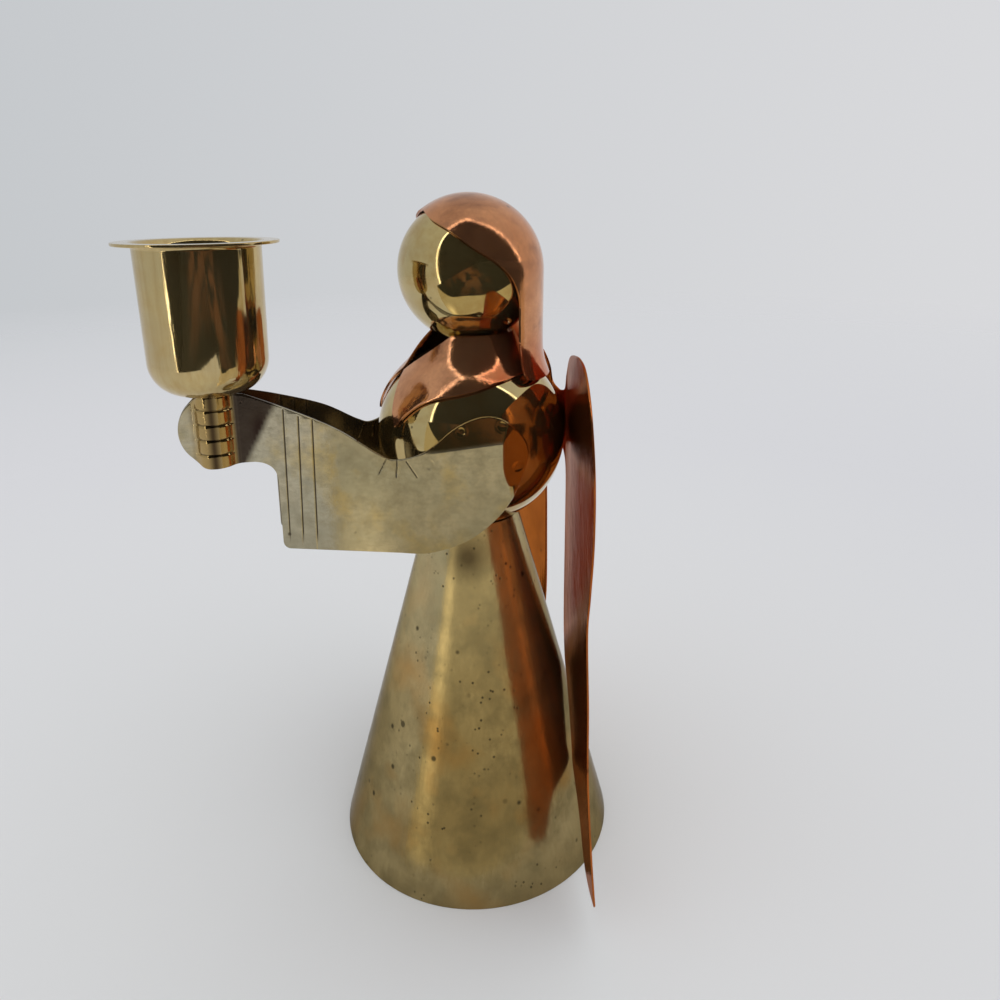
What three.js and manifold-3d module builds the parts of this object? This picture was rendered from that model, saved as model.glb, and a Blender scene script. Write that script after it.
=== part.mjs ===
// Angel candle holder in thin brass and copper sheet. Millimetres, +Z up.
// The figure faces -Y and its left side is +X. Its skirt, torso and head share one upright axis,
// and the candle cup stands on a second upright axis in front of it, between the two hands.
import * as THREE from 'three';
import { mergeVertices } from 'three/addons/utils/BufferGeometryUtils.js';
import Module from 'manifold-3d';

const wasm = await Module();
wasm.setup();

// Clearance between two pieces that seat on, or turn in, each other.
const seatGap = 0.3;

// Sheet thicknesses.
const skirtSheet = 0.8;
const ballSheet = 0.8;
const armSheet = 0.7;
const cupSheet = 0.6;
const copperSheet = 0.5;

// Skirt: a plain cone of sheet, open below.
const skirtBaseRadius = 32;
const skirtTopRadius = 10.34;
const skirtHeight = 79.5;

// Torso and head: two hollow balls drawn together by a tie rod through their openings.
const torsoRadius = 20.57;
const headRadius = 15.1;
const ballOpening = 2.2;
const tieRodRadius = 1.5;
const rodHoleClearance = 0.3;
const topPlateThickness = 1.2;
const washerRadius = 4;
const washerThickness = 0.8;
const nutAcrossFlats = 5.5;
const nutHeight = 2.4;
const rodEndLength = 2;
const headBossRadius = 3.6;
const headBossHeight = 5;

// Hair: a copper cap over the head that hangs down behind to the shoulders.
const hairPeakHeight = 13.4;
const hairPeakReach = 8.9;
const hairPeakRound = 0.6;
const hairPeakDrop = 2.4;
const hairBrowDrop = 5;
const hairTempleReach = 1;
const hairTempleHeight = 4.3;
const hairEarReach = 3.2;
const hairEarHeight = 1.2;
const hairSideReach = 6;
const hairJawInset = 0.4;
const hairJawDrop = 3.2;
const hairNeckSetback = 0.2;
const hairNeckDrop = 12;
const hairHemLift = 1.2;
const hairHemTurn = 1;
const hairHemStart = 1.3;
const hairHemCorner = 2.6;
const hairHemCornerRise = 0.2;
const hairHemReach = 4.6;
const hairTaper = 0.1;
const hairFlare = 1.4;
const hairFlareHeight = 6.5;

// Collar: a copper band that stands round the neck, open in front, and lies on the torso below
// with two pointed lapels. Degrees of turn from the front and of rise on the torso.
const collarTopRadius = 9.2;
const collarFlareDegrees = 47;
const collarOpeningDegrees = 48;
const collarOpeningCurve = 1.6;
const lapelSlitDegrees = 3;
const lapelNeckDegrees = 46;
const lapelUpperDegrees = 34.6;
const lapelLowerDegrees = 20.6;
const lapelTipDegrees = 14.2;
const lapelTipTurnDegrees = 24.5;
const collarShoulderDegrees = 30;
const collarShoulderTurnDegrees = 43;
const collarSideDegrees = 38;
const collarSideTurnDegrees = 76;
const collarNapeDegrees = 45;
const collarNapeTurnDegrees = 110;
const collarBackDegrees = 50;

// Cup: a straight cup with rounded floor and a flat rim, on a pin held by the hands.
const cupReach = 53.2;
const cupInnerRadius = 11.06;
const cupTaper = 0.35;
const cupFloorRound = 6.8;
const cupRimRadius = 15.06;
const cupRimFillet = 1.4;
const cupDepth = 29.4;
const pinRadius = 2.5;
const pinHeadRadius = 4;
const pinHeadHeight = 1.2;
const pinEndMargin = 1.2;

// Arms: flat sleeves tangent to the torso, with each hand formed half round the pin.
const handHeight = 103.5;
const handHalfHeight = 7.35;
const tabReach = 6.9;
const handFillet = 1.9;
const fingerGroove = 0.35;
const fingerPitch = 3.03;
const firstFinger = 2.7;
const fingerGrooves = 4;
const grooveHalfWidth = 0.45;
const handTopLength = 6.2;
const cuffSetback = 12.2;
const cuffTopRun = 1.8;
const cuffTopDrop = 2.5;
const cuffDrop = 19.5;
const cuffCornerRadius = 1.5;
const wristHeight = 96.8;
const wristCornerRun = 4.6;
const wristCornerDrop = 4;
const elbowSetback = 11.8;
const elbowRise = 0.4;
const elbowApproach = 4;
const elbowApproachRise = 1.3;
const shoulderLength = 14;
const shoulderRise = 9.2;
const shoulderFrontRise = 7;
const shoulderCrestSetback = 5.9;
const shoulderBackInset = 3.2;
const shoulderBackRise = 7.6;
const shoulderEndRise = 1.3;
const shoulderUnderInset = 3.8;
const shoulderUnderDrop = 8.5;
const sleeveUnderSetback = 2.9;
const sleeveUnderRise = 3.7;
const sleeveHemSetback = 5.3;
const sleeveHemRise = 0.3;
const shoulderStandoff = 0.6;
const creaseRise = 0.4;
const creaseSetback = 8.6;
const creaseSlope = 0.33;

// Wings: one copper sheet whose middle bridge lies on the torso's back.
const wingHalfSpan = 48.3;
const wingTop = 118.5;
const wingTip = 7.8;
const wingTipReach = 44.5;
const wingWaist = 38;
const wingWaistHeight = 66;
const wingMargin = 6;
const bridgeTop = 105.5;
const bridgeBottom = 93;
const foldDistance = 4.5;
const foldSoftness = 2;
const foldSweep = 0.235;
const foldTwist = 0.0008;

// Wings' outline. Neck points are (across from the margin, above the bridge's top), crest points
// (share of the way from margin to half span, below the wings' top), waist and toe points (across
// from the waist or the tip, above it), and the last rows lie close beside the skirt's cone.
const wingNeckPoints = [[-2.2, 1.1], [-0.8, 4.7], [2, 8.2]];
const wingCrestPoints = [
  [0.142, 2.8], [0.307, 1.3], [0.52, 0.1], [0.733, 0.6], [0.905, 5.6], [1, 16], [0.962, 29],
];
const wingWaistPoints = [[3.6, 10], [0, 0], [0.7, -16], [0.2, -33]];
const wingToePoints = [[-3, 9], [0, 0], [-5, -0.6], [-10, 1], [-16.1, 8.8]];
const wingSkirtRows = [14.2, 18.2, 22.2, 26.2, 30.2];
const wingSkirtGap = 0.5;
const wingHeelRun = 2;
const wingHeelRise = 34.2;
const wingSlitStart = 44;
const bridgeCornerRun = 2.4;
const bridgeCornerDrop = 6;

// How far a formed blank reaches beyond the outline that it is cut to.
const blankMargin = 1;

// Facets round a full turn.
const skirtFacets = 60;
const torsoFacets = 32;
const headFacets = 28;
const cupFacets = 36;
const hairFacets = 36;
const smallFacets = 16;

const brass = { color: 0xb59a5a, roughness: 0.28, metalness: 1 };
const brassPolished = { color: 0xc2a668, roughness: 0.12, metalness: 1 };
const brassPale = { color: 0xb8a680, roughness: 0.35, metalness: 1 };
const copper = { color: 0xb06a48, roughness: 0.22, metalness: 1 };
const steel = { color: 0x8e8f92, roughness: 0.4, metalness: 1 };

// Heights and places that follow from the sizes above.
const chord = (radius, offset) => Math.sqrt(radius * radius - offset * offset);
const skirtSlope = (skirtBaseRadius - skirtTopRadius) / skirtHeight;
const torsoHeight = skirtHeight + chord(torsoRadius + seatGap, skirtTopRadius);
const headHeight = torsoHeight + chord(torsoRadius, ballOpening) + seatGap
  + chord(headRadius, ballOpening);
const handTop = handHeight + handHalfHeight;
const cupBottom = handTop + seatGap;
const cupOuterRadius = cupInnerRadius + cupSheet;
const armDistance = torsoRadius + seatGap + armSheet / 2 + shoulderStandoff;
const armAngle = Math.asin(armDistance / cupReach);
const armTouch = cupReach * Math.cos(armAngle);
const wingPlane = torsoRadius + seatGap + copperSheet / 2;

function named(name, geometry, look) {
  const mesh = new THREE.Mesh(geometry, new THREE.MeshStandardMaterial(look));
  mesh.name = name;
  return mesh;
}

function polar(radius, angle) {
  return new THREE.Vector2(radius * Math.cos(angle), radius * Math.sin(angle));
}

// Points of an arc in a profile, centre (x, y), from one angle to another.
function arcPoints(x, y, radius, from, to, steps) {
  const points = [];
  for (let i = 0; i <= steps; i += 1) {
    const point = polar(radius, THREE.MathUtils.lerp(from, to, i / steps));
    points.push(point.add(new THREE.Vector2(x, y)));
  }
  return points;
}

// A closed profile of (radius, height) points turned about the upright axis.
function turned(profile, facets) {
  const closed = [...profile, profile[0].clone()];
  return new THREE.LatheGeometry(closed, facets).rotateX(Math.PI / 2);
}

function disc(radius, hole, bottom, height) {
  return turned([
    new THREE.Vector2(hole, bottom),
    new THREE.Vector2(radius, bottom),
    new THREE.Vector2(radius, bottom + height),
    new THREE.Vector2(hole, bottom + height),
  ], smallFacets);
}

function bare(geometry) {
  const copy = geometry.clone();
  copy.deleteAttribute('normal');
  copy.deleteAttribute('uv');
  return mergeVertices(copy, 1e-4);
}

function toSolid(geometry) {
  const merged = bare(geometry);
  return new wasm.Manifold(new wasm.Mesh({
    numProp: 3,
    vertProperties: new Float32Array(merged.attributes.position.array),
    triVerts: new Uint32Array(merged.index.array),
  }));
}

function toGeometry(solid) {
  const mesh = solid.getMesh();
  const geometry = new THREE.BufferGeometry();
  geometry.setAttribute('position', new THREE.BufferAttribute(mesh.vertProperties, 3));
  geometry.setIndex(new THREE.BufferAttribute(mesh.triVerts, 1));
  geometry.computeVertexNormals();
  return geometry;
}

// A closed sheet between two grids of points, outer[column][row] and inner[column][row].
function sheetBetween(outer, inner) {
  const columns = outer.length - 1;
  const rows = outer[0].length - 1;
  const corners = [];
  const face = (a, b, c, d) => corners.push(a, b, c, a, c, d);
  for (let i = 0; i < columns; i += 1) {
    for (let j = 0; j < rows; j += 1) {
      face(outer[i][j], outer[i + 1][j], outer[i + 1][j + 1], outer[i][j + 1]);
      face(inner[i][j], inner[i][j + 1], inner[i + 1][j + 1], inner[i + 1][j]);
    }
    face(inner[i][0], inner[i + 1][0], outer[i + 1][0], outer[i][0]);
    face(outer[i][rows], outer[i + 1][rows], inner[i + 1][rows], inner[i][rows]);
  }
  for (let j = 0; j < rows; j += 1) {
    face(outer[0][j], outer[0][j + 1], inner[0][j + 1], inner[0][j]);
    face(inner[columns][j], inner[columns][j + 1], outer[columns][j + 1], outer[columns][j]);
  }
  const geometry = new THREE.BufferGeometry().setFromPoints(corners);
  return mergeVertices(geometry, 1e-4);
}

// A flat outline pushed through along its normal, centred on its own plane.
function outlineCutter(shape, depth, detail) {
  const options = { depth, bevelEnabled: false, curveSegments: detail };
  return new THREE.ExtrudeGeometry(shape, options).translate(0, 0, -depth / 2);
}

function skirt() {
  const slantSheet = skirtSheet * Math.hypot(1, skirtSlope);
  const innerTop = skirtTopRadius - slantSheet;
  return turned([
    new THREE.Vector2(skirtBaseRadius, 0),
    new THREE.Vector2(skirtTopRadius, skirtHeight),
    new THREE.Vector2(innerTop, torsoHeight - chord(torsoRadius + seatGap, innerTop)),
    new THREE.Vector2(skirtBaseRadius - slantSheet, 0),
  ], skirtFacets);
}

// The hollow ball's openings are round holes of one radius in its top and bottom.
function hollowBall(radius, openTop, facets) {
  const inside = radius - ballSheet;
  const steps = facets / 2;
  const outerEdge = Math.acos(ballOpening / radius);
  const innerEdge = Math.acos(ballOpening / inside);
  const top = openTop ? outerEdge : Math.PI / 2;
  const innerTop = openTop ? innerEdge : Math.PI / 2;
  return turned([
    ...arcPoints(0, 0, radius, -outerEdge, top, steps),
    ...arcPoints(0, 0, inside, innerTop, -innerEdge, steps / 2),
  ], facets);
}

function skirtTopPlate(top) {
  const radius = skirtBaseRadius - skirtSlope * top - skirtSheet * Math.hypot(1, skirtSlope)
    - seatGap;
  return disc(radius, tieRodRadius + rodHoleClearance, 0, topPlateThickness);
}

function hexNut() {
  const hexagon = new THREE.Shape(arcPoints(0, 0, nutAcrossFlats / Math.sqrt(3), 0, 2 * Math.PI, 6));
  const hole = tieRodRadius + rodHoleClearance;
  const bore = new THREE.Path(arcPoints(0, 0, hole, 2 * Math.PI, 0, smallFacets));
  hexagon.holes.push(bore);
  return new THREE.ExtrudeGeometry(hexagon, { depth: nutHeight, bevelEnabled: false });
}

function tieRod(length) {
  return new THREE.CylinderGeometry(tieRodRadius, tieRodRadius, length, smallFacets)
    .rotateX(Math.PI / 2)
    .translate(0, 0, length / 2);
}

// The spine of the figure, in the order in which it goes together under the skirt.
function tieParts() {
  const plateTop = torsoHeight - chord(torsoRadius, ballOpening) - seatGap;
  const plate = named('skirt_top_plate', skirtTopPlate(plateTop), steel);
  plate.position.z = plateTop - topPlateThickness;
  const washer = named('rod_washer',
    disc(washerRadius, tieRodRadius + rodHoleClearance, 0, washerThickness), steel);
  washer.position.z = plate.position.z - seatGap - washerThickness;
  const nut = named('rod_nut', hexNut(), steel);
  nut.position.z = washer.position.z - seatGap - nutHeight;
  const bossFloor = headHeight - chord(headRadius - ballSheet - seatGap, headBossRadius);
  const boss = named('head_boss',
    disc(headBossRadius, tieRodRadius + rodHoleClearance, 0, headBossHeight), brass);
  boss.position.z = bossFloor;
  const rodBottom = nut.position.z - rodEndLength;
  const rod = named('tie_rod', tieRod(bossFloor + headBossHeight - rodBottom), steel);
  rod.position.z = rodBottom;
  return [plate, washer, nut, boss, rod];
}

// Half section of the hair: the head's round on top, a slight taper and a flared hem below.
function hairSection(radius, hem) {
  const crown = arcPoints(0, 0, radius, Math.PI / 2, 0, 8);
  const waist = radius - hairTaper;
  const fall = new THREE.SplineCurve([
    new THREE.Vector2(radius, 0),
    new THREE.Vector2(waist + hairTaper / 3, hem / 3),
    new THREE.Vector2(waist, hem + hairFlareHeight),
    new THREE.Vector2(waist + hairFlare / 4, hem + hairFlareHeight / 2),
    new THREE.Vector2(waist + hairFlare, hem),
  ]);
  return [...crown, ...fall.getPoints(6).slice(1)];
}

// Side view of the face opening, seen along X, with the head's centre at the origin.
function faceOpening(hem) {
  const clear = 2 * headRadius;
  const opening = new THREE.Shape();
  opening.moveTo(-clear, hairPeakHeight);
  opening.lineTo(-hairPeakReach + hairPeakRound, hairPeakHeight);
  opening.splineThru([
    new THREE.Vector2(-hairPeakReach, hairPeakHeight - hairPeakDrop),
    new THREE.Vector2(-hairSideReach, hairPeakHeight - hairBrowDrop),
    new THREE.Vector2(-hairTempleReach, hairTempleHeight),
    new THREE.Vector2(hairEarReach, hairEarHeight),
    new THREE.Vector2(hairSideReach - hairJawInset, -hairJawDrop),
    new THREE.Vector2(hairSideReach, -2 * hairJawDrop),
    new THREE.Vector2(hairSideReach + hairNeckSetback, -hairNeckDrop),
    new THREE.Vector2(hairSideReach + hairHemStart, hem + hairHemTurn),
    new THREE.Vector2(hairSideReach + hairHemCorner, hem + hairHemCornerRise),
    new THREE.Vector2(hairSideReach + hairHemReach, hem),
  ]);
  opening.lineTo(hairSideReach + hairHemReach, hem - clear);
  opening.lineTo(-clear, hem - clear);
  return opening;
}

function hair() {
  const inner = headRadius + seatGap;
  const hemRadius = inner - hairTaper + hairFlare;
  const hem = torsoHeight + chord(torsoRadius + seatGap, hemRadius) + hairHemLift - headHeight;
  const outside = hairSection(inner + copperSheet, hem).reverse();
  const inside = hairSection(inner, hem);
  const cap = turned([...outside, ...inside], hairFacets);
  const cutter = outlineCutter(faceOpening(hem), 6 * headRadius, 6);
  cutter.rotateX(Math.PI / 2).rotateZ(Math.PI / 2);
  return toGeometry(toSolid(cap).subtract(toSolid(cutter)));
}

// The collar's lower edge as (turn, elevation): the lapel's front edge from slit to tip, then the
// hem from the tip round to the back.
function lapelEdge() {
  const turnAt = (share) => lapelTipTurnDegrees * share;
  return new THREE.SplineCurve([
    new THREE.Vector2(lapelSlitDegrees, lapelNeckDegrees),
    new THREE.Vector2(turnAt(0.5), lapelUpperDegrees),
    new THREE.Vector2(turnAt(0.8), lapelLowerDegrees),
    new THREE.Vector2(lapelTipTurnDegrees, lapelTipDegrees),
  ]);
}

function collarHem() {
  return new THREE.SplineCurve([
    new THREE.Vector2(lapelTipTurnDegrees, lapelTipDegrees),
    new THREE.Vector2(collarShoulderTurnDegrees, collarShoulderDegrees),
    new THREE.Vector2(collarSideTurnDegrees, collarSideDegrees),
    new THREE.Vector2(collarNapeTurnDegrees, collarNapeDegrees),
    new THREE.Vector2(180, collarBackDegrees),
  ]);
}

// The collar's mid surface, at a turn from the front and an elevation on the torso. Above the
// lapels the band opens out to both sides of the neck.
function collarPoint(turn, elevation, neckElevation, neckRadius) {
  const lying = torsoRadius + seatGap + copperSheet / 2;
  const standing = elevation - collarFlareDegrees;
  const rise = Math.max(0, standing / (neckElevation - collarFlareDegrees));
  const radius = lying + (neckRadius - lying) * rise * rise;
  const above = Math.max(0, elevation - lapelNeckDegrees) / (neckElevation - lapelNeckDegrees);
  const opening = collarOpeningDegrees * above ** collarOpeningCurve * (1 - turn / 180);
  const up = THREE.MathUtils.degToRad(elevation);
  const round = THREE.MathUtils.degToRad(turn + opening);
  return new THREE.Vector3(
    radius * Math.cos(up) * Math.sin(round),
    -radius * Math.cos(up) * Math.cos(round),
    radius * Math.sin(up),
  );
}

function collar() {
  const neckRise = headHeight - torsoHeight
    - chord(headRadius + seatGap + copperSheet / 2, collarTopRadius - copperSheet / 2);
  const neckElevation = THREE.MathUtils.radToDeg(Math.atan2(neckRise, collarTopRadius));
  const neckRadius = Math.hypot(neckRise, collarTopRadius);
  const half = [...lapelEdge().getPoints(8), ...collarHem().getPoints(14).slice(1)];
  const rows = 7;
  const halfGrid = (side) => half.map(({ x: turn, y: low }) => {
    const column = [];
    for (let j = 0; j <= rows; j += 1) {
      const elevation = THREE.MathUtils.lerp(low, neckElevation, j / rows);
      const point = collarPoint(turn, elevation, neckElevation, neckRadius);
      const above = collarPoint(turn, elevation + 1, neckElevation, neckRadius).sub(point);
      const beside = collarPoint(turn + 1, elevation, neckElevation, neckRadius).sub(point);
      const normal = beside.cross(above).normalize();
      column.push(point.addScaledVector(normal, side * copperSheet / 2));
    }
    return column;
  });
  const mirror = (column) => column.map(({ x, y, z }) => new THREE.Vector3(-x, y, z));
  const grid = (side) => {
    const columns = halfGrid(side);
    columns.at(-1).forEach((point) => point.setX(0));
    return [...columns, ...columns.slice(0, -1).reverse().map(mirror)];
  };
  return sheetBetween(grid(1), grid(-1));
}

function cup() {
  const wallTop = cupDepth - cupRimFillet;
  const quarter = Math.PI / 2;
  const floor = cupOuterRadius - cupTaper - cupFloorRound;
  const outside = [
    ...arcPoints(floor, cupFloorRound, cupFloorRound, -quarter, 0, 5),
    ...arcPoints(cupOuterRadius + cupRimFillet - cupSheet, wallTop, cupRimFillet - cupSheet,
      2 * quarter, quarter, 3),
    new THREE.Vector2(cupRimRadius, cupDepth - cupSheet),
  ];
  const inside = [
    new THREE.Vector2(cupRimRadius, cupDepth),
    ...arcPoints(cupInnerRadius + cupRimFillet, wallTop, cupRimFillet, quarter, 2 * quarter, 3),
    ...arcPoints(floor, cupFloorRound, cupFloorRound - cupSheet, 0, -quarter, 5),
  ];
  const hole = [
    new THREE.Vector2(pinRadius + seatGap, cupSheet),
    new THREE.Vector2(pinRadius + seatGap, 0),
  ];
  return turned([...outside, ...inside, ...hole], cupFacets);
}

// A headed pin: the head rests on the cup's floor and the shank goes down between the hands.
function cupPin() {
  const shankEnd = handHeight - handHalfHeight + pinEndMargin - cupBottom;
  const headBottom = cupSheet + seatGap;
  const dome = pinHeadHeight / 2;
  return turned([
    new THREE.Vector2(0, shankEnd),
    new THREE.Vector2(pinRadius, shankEnd),
    new THREE.Vector2(pinRadius, headBottom),
    new THREE.Vector2(pinHeadRadius, headBottom),
    new THREE.Vector2(pinHeadRadius, headBottom + pinHeadHeight - dome),
    new THREE.Vector2(pinHeadRadius - dome, headBottom + pinHeadHeight),
    new THREE.Vector2(0, headBottom + pinHeadHeight),
  ], smallFacets);
}

// Outline of the left arm's blank, as (distance from the pin's axis, height above the base).
function armOutline() {
  const shoulder = armTouch + shoulderLength;
  const elbow = armTouch - elbowSetback;
  const hem = torsoHeight - cuffDrop;
  const palm = cuffSetback - wristCornerRun;
  const handBottom = handHeight - handHalfHeight;
  const outline = new THREE.Shape();
  outline.moveTo(0, handTop);
  outline.lineTo(handTopLength, handTop);
  outline.splineThru([
    new THREE.Vector2(cuffSetback + cuffTopRun, handTop - cuffTopDrop),
    new THREE.Vector2((cuffSetback + elbow) / 2, (handTop + torsoHeight) / 2),
    new THREE.Vector2(elbow - elbowApproach, torsoHeight + elbowRise + elbowApproachRise),
    new THREE.Vector2(elbow, torsoHeight + elbowRise),
    new THREE.Vector2((elbow + armTouch) / 2, torsoHeight + shoulderRise / 4),
    new THREE.Vector2(armTouch, torsoHeight + shoulderFrontRise),
    new THREE.Vector2(armTouch + shoulderCrestSetback, torsoHeight + shoulderRise),
    new THREE.Vector2(shoulder - shoulderBackInset, torsoHeight + shoulderBackRise),
    new THREE.Vector2(shoulder, torsoHeight + shoulderEndRise),
    new THREE.Vector2(shoulder - shoulderUnderInset, torsoHeight - shoulderUnderDrop),
    new THREE.Vector2(armTouch + sleeveUnderSetback, hem + sleeveUnderRise),
    new THREE.Vector2(armTouch - sleeveHemSetback, hem + sleeveHemRise),
    new THREE.Vector2(elbow, hem),
  ]);
  outline.lineTo(cuffSetback + cuffCornerRadius, hem);
  outline.absarc(cuffSetback + cuffCornerRadius, hem + cuffCornerRadius, cuffCornerRadius,
    -Math.PI / 2, Math.PI, true);
  outline.lineTo(cuffSetback, wristHeight - wristCornerDrop);
  outline.quadraticCurveTo(cuffSetback, wristHeight, palm, wristHeight);
  outline.bezierCurveTo(palm / 2, wristHeight, palm / 2, handBottom, 0, handBottom);
  outline.absellipse(0, handHeight, tabReach * Math.cos(armAngle), handHalfHeight,
    -Math.PI / 2, Math.PI / 2, true, 0);
  return outline;
}

// Plan of the formed blank from the tab in front of the pin to the shoulder. Each station has
// its place and outward normal in plan, its distance along the arm, and its share of the fingers.
function armPlan() {
  const ring = pinRadius + seatGap + armSheet / 2 + fingerGroove;
  const spread = ring + handFillet;
  const tabSide = (seatGap + armSheet) / 2;
  const tabTurn = Math.asin((tabSide + handFillet) / spread);
  const sleeveTurn = Math.PI - armAngle - Math.asin(handFillet / spread);
  const along = new THREE.Vector2(Math.sin(armAngle), Math.cos(armAngle));
  const sleeveStart = chord(spread, handFillet);
  const stations = [];
  const add = (place, normal, fingers) => {
    stations.push({ place, normal, distance: place.dot(along), fingers });
  };
  const fillet = (centre, from, to, fingersFrom, fingersTo) => {
    for (let i = 0; i <= 3; i += 1) {
      const turn = THREE.MathUtils.lerp(from, to, i / 3);
      const normal = new THREE.Vector2(Math.cos(turn), -Math.sin(turn));
      const place = centre.clone().addScaledVector(normal, -handFillet);
      add(place, normal, THREE.MathUtils.lerp(fingersFrom, fingersTo, i / 3));
    }
  };
  add(new THREE.Vector2(tabSide, -tabReach - blankMargin), new THREE.Vector2(1, 0), 0);
  fillet(new THREE.Vector2(tabSide + handFillet, -spread * Math.cos(tabTurn)),
    0, Math.PI / 2 - tabTurn, 0, 1);
  const roundSteps = 10;
  for (let i = 1; i < roundSteps; i += 1) {
    const turn = THREE.MathUtils.lerp(tabTurn, sleeveTurn, i / roundSteps);
    const normal = new THREE.Vector2(Math.sin(turn), -Math.cos(turn));
    add(normal.clone().multiplyScalar(ring), normal, 1);
  }
  fillet(new THREE.Vector2(spread * Math.sin(sleeveTurn), -spread * Math.cos(sleeveTurn)),
    Math.PI / 2 - sleeveTurn, armAngle, 1, 0);
  const flat = new THREE.Vector2(Math.cos(armAngle), -Math.sin(armAngle));
  const crease = armTouch + creaseSetback;
  const shoulder = armTouch + shoulderLength + blankMargin;
  const straight = [
    (sleeveStart + armTouch - elbowSetback) / 2,
    ...[-0.8, -0.6, -0.4, -0.2].map((share) => armTouch + share * elbowSetback),
    ...[0, 0.35, 0.7, 1].map((share) => THREE.MathUtils.lerp(armTouch, crease, share)),
    ...[0.33, 0.67, 1].map((share) => THREE.MathUtils.lerp(crease, shoulder, share)),
  ];
  straight.forEach((distance) => add(along.clone().multiplyScalar(distance), flat, 0));
  return stations;
}

// How far the shoulder is dished in towards the torso. The dish starts at a crease above the
// sleeve and behind it, bends in at a steady slope and then lies on the ball.
function shoulderDish(distance, height) {
  const above = Math.max(0, height - torsoHeight - creaseRise);
  const behind = Math.max(0, distance - armTouch - creaseSetback);
  const reachIn = THREE.MathUtils.smoothstep(distance, armTouch - elbowSetback * 0.8,
    armTouch - elbowSetback * 0.2);
  const fromTouch = Math.hypot(distance - armTouch, height - torsoHeight);
  const lying = armDistance - shoulderStandoff;
  const room = lying - chord(lying, Math.min(fromTouch, lying)) + shoulderStandoff;
  return Math.min(creaseSlope * Math.hypot(above * reachIn, behind), room);
}

function armRows() {
  const rows = [
    torsoHeight - cuffDrop - blankMargin,
    torsoHeight - shoulderUnderDrop,
    torsoHeight + creaseRise,
    handTop + blankMargin,
  ];
  for (let i = 0; i < fingerGrooves; i += 1) {
    const groove = handTop - firstFinger - i * fingerPitch;
    rows.push(groove - grooveHalfWidth, groove, groove + grooveHalfWidth);
  }
  return rows.sort((a, b) => a - b);
}

function grooveDepth(height) {
  let depth = 0;
  for (let i = 0; i < fingerGrooves; i += 1) {
    const away = Math.abs(height - (handTop - firstFinger - i * fingerPitch));
    depth = Math.max(depth, fingerGroove * (1 - away / grooveHalfWidth));
  }
  return depth;
}

// The left arm about the pin's axis: a formed blank cut to the outline.
function arm() {
  const stations = armPlan();
  const rows = armRows();
  const grid = (side) => stations.map(({ place, normal, distance, fingers }) => (
    rows.map((height) => {
      const shift = side * armSheet / 2 - fingers * grooveDepth(height)
        - shoulderDish(distance, height);
      return new THREE.Vector3(
        place.x + normal.x * shift,
        place.y + normal.y * shift,
        height,
      );
    })
  ));
  const blank = toSolid(sheetBetween(grid(1), grid(-1)));
  const along = new THREE.Vector3(Math.sin(armAngle), Math.cos(armAngle), 0);
  const up = new THREE.Vector3(0, 0, 1);
  const out = along.clone().cross(up);
  const cutter = outlineCutter(armOutline(), 2 * cupReach, 6);
  cutter.applyMatrix4(new THREE.Matrix4().makeBasis(along, up, out));
  return toGeometry(blank.intersect(toSolid(cutter)));
}

// Depth of the wings' mid surface: flat on the bridge, folded forwards on both sides.
function wingDepth(x, z) {
  const beyond = Math.abs(x) - foldDistance;
  const folded = (beyond + Math.hypot(beyond, foldSoftness)) / 2;
  return -(foldSweep + foldTwist * (z - wingTip)) * folded;
}

// How far from the middle the wing's inner edge lies to clear the skirt at a height.
function besideSkirt(z) {
  const apart = (wingSkirtGap + copperSheet / 2) * Math.hypot(1, skirtSlope);
  const clear = skirtBaseRadius - skirtSlope * z + apart;
  let near = 0;
  let far = wingHalfSpan;
  while (far - near > wingSkirtGap / 100) {
    const x = (near + far) / 2;
    if (Math.hypot(x, wingPlane + wingDepth(x, z)) < clear) {
      near = x;
    } else {
      far = x;
    }
  }
  return Math.max(far, wingMargin);
}

// Right half of the wings' outline, as (distance from the middle, height), from the bridge's
// top over the shoulder and down the outer edge, and from the tip up the inner edge.
function wingEdges() {
  const span = wingHalfSpan - wingMargin;
  const point = (x, z) => new THREE.Vector2(x, z);
  const toe = wingToePoints.map(([run, rise]) => point(wingTipReach + run, wingTip + rise));
  const outer = [
    ...wingNeckPoints.map(([run, rise]) => point(wingMargin + run, bridgeTop + rise)),
    ...wingCrestPoints.map(([share, drop]) => point(wingMargin + share * span, wingTop - drop)),
    ...wingWaistPoints.map(([run, rise]) => point(wingWaist + run, wingWaistHeight + rise)),
    ...toe.slice(0, 2),
  ];
  const inner = [
    ...toe.slice(1),
    ...wingSkirtRows.map((rise) => point(besideSkirt(wingTip + rise), wingTip + rise)),
    point(wingMargin + wingHeelRun, wingTip + wingHeelRise),
    point(wingMargin, wingTip + wingSlitStart),
    point(wingMargin, (wingTip + wingSlitStart + bridgeBottom) / 2),
    point(wingMargin, bridgeBottom - bridgeCornerDrop),
    point(wingMargin - bridgeCornerRun, bridgeBottom - bridgeCornerDrop / 6),
    point(0, bridgeBottom),
  ];
  return { outer, inner };
}

function wingOutline() {
  const { outer, inner } = wingEdges();
  const left = (points) => points.map(({ x, y }) => new THREE.Vector2(-x, y)).reverse();
  const outline = new THREE.Shape();
  outline.moveTo(0, bridgeTop);
  outline.splineThru(outer);
  outline.splineThru(inner.slice(1));
  outline.splineThru(left(inner).slice(1));
  outline.splineThru([...left(outer).slice(1), new THREE.Vector2(0, bridgeTop)]);
  return outline;
}

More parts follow.
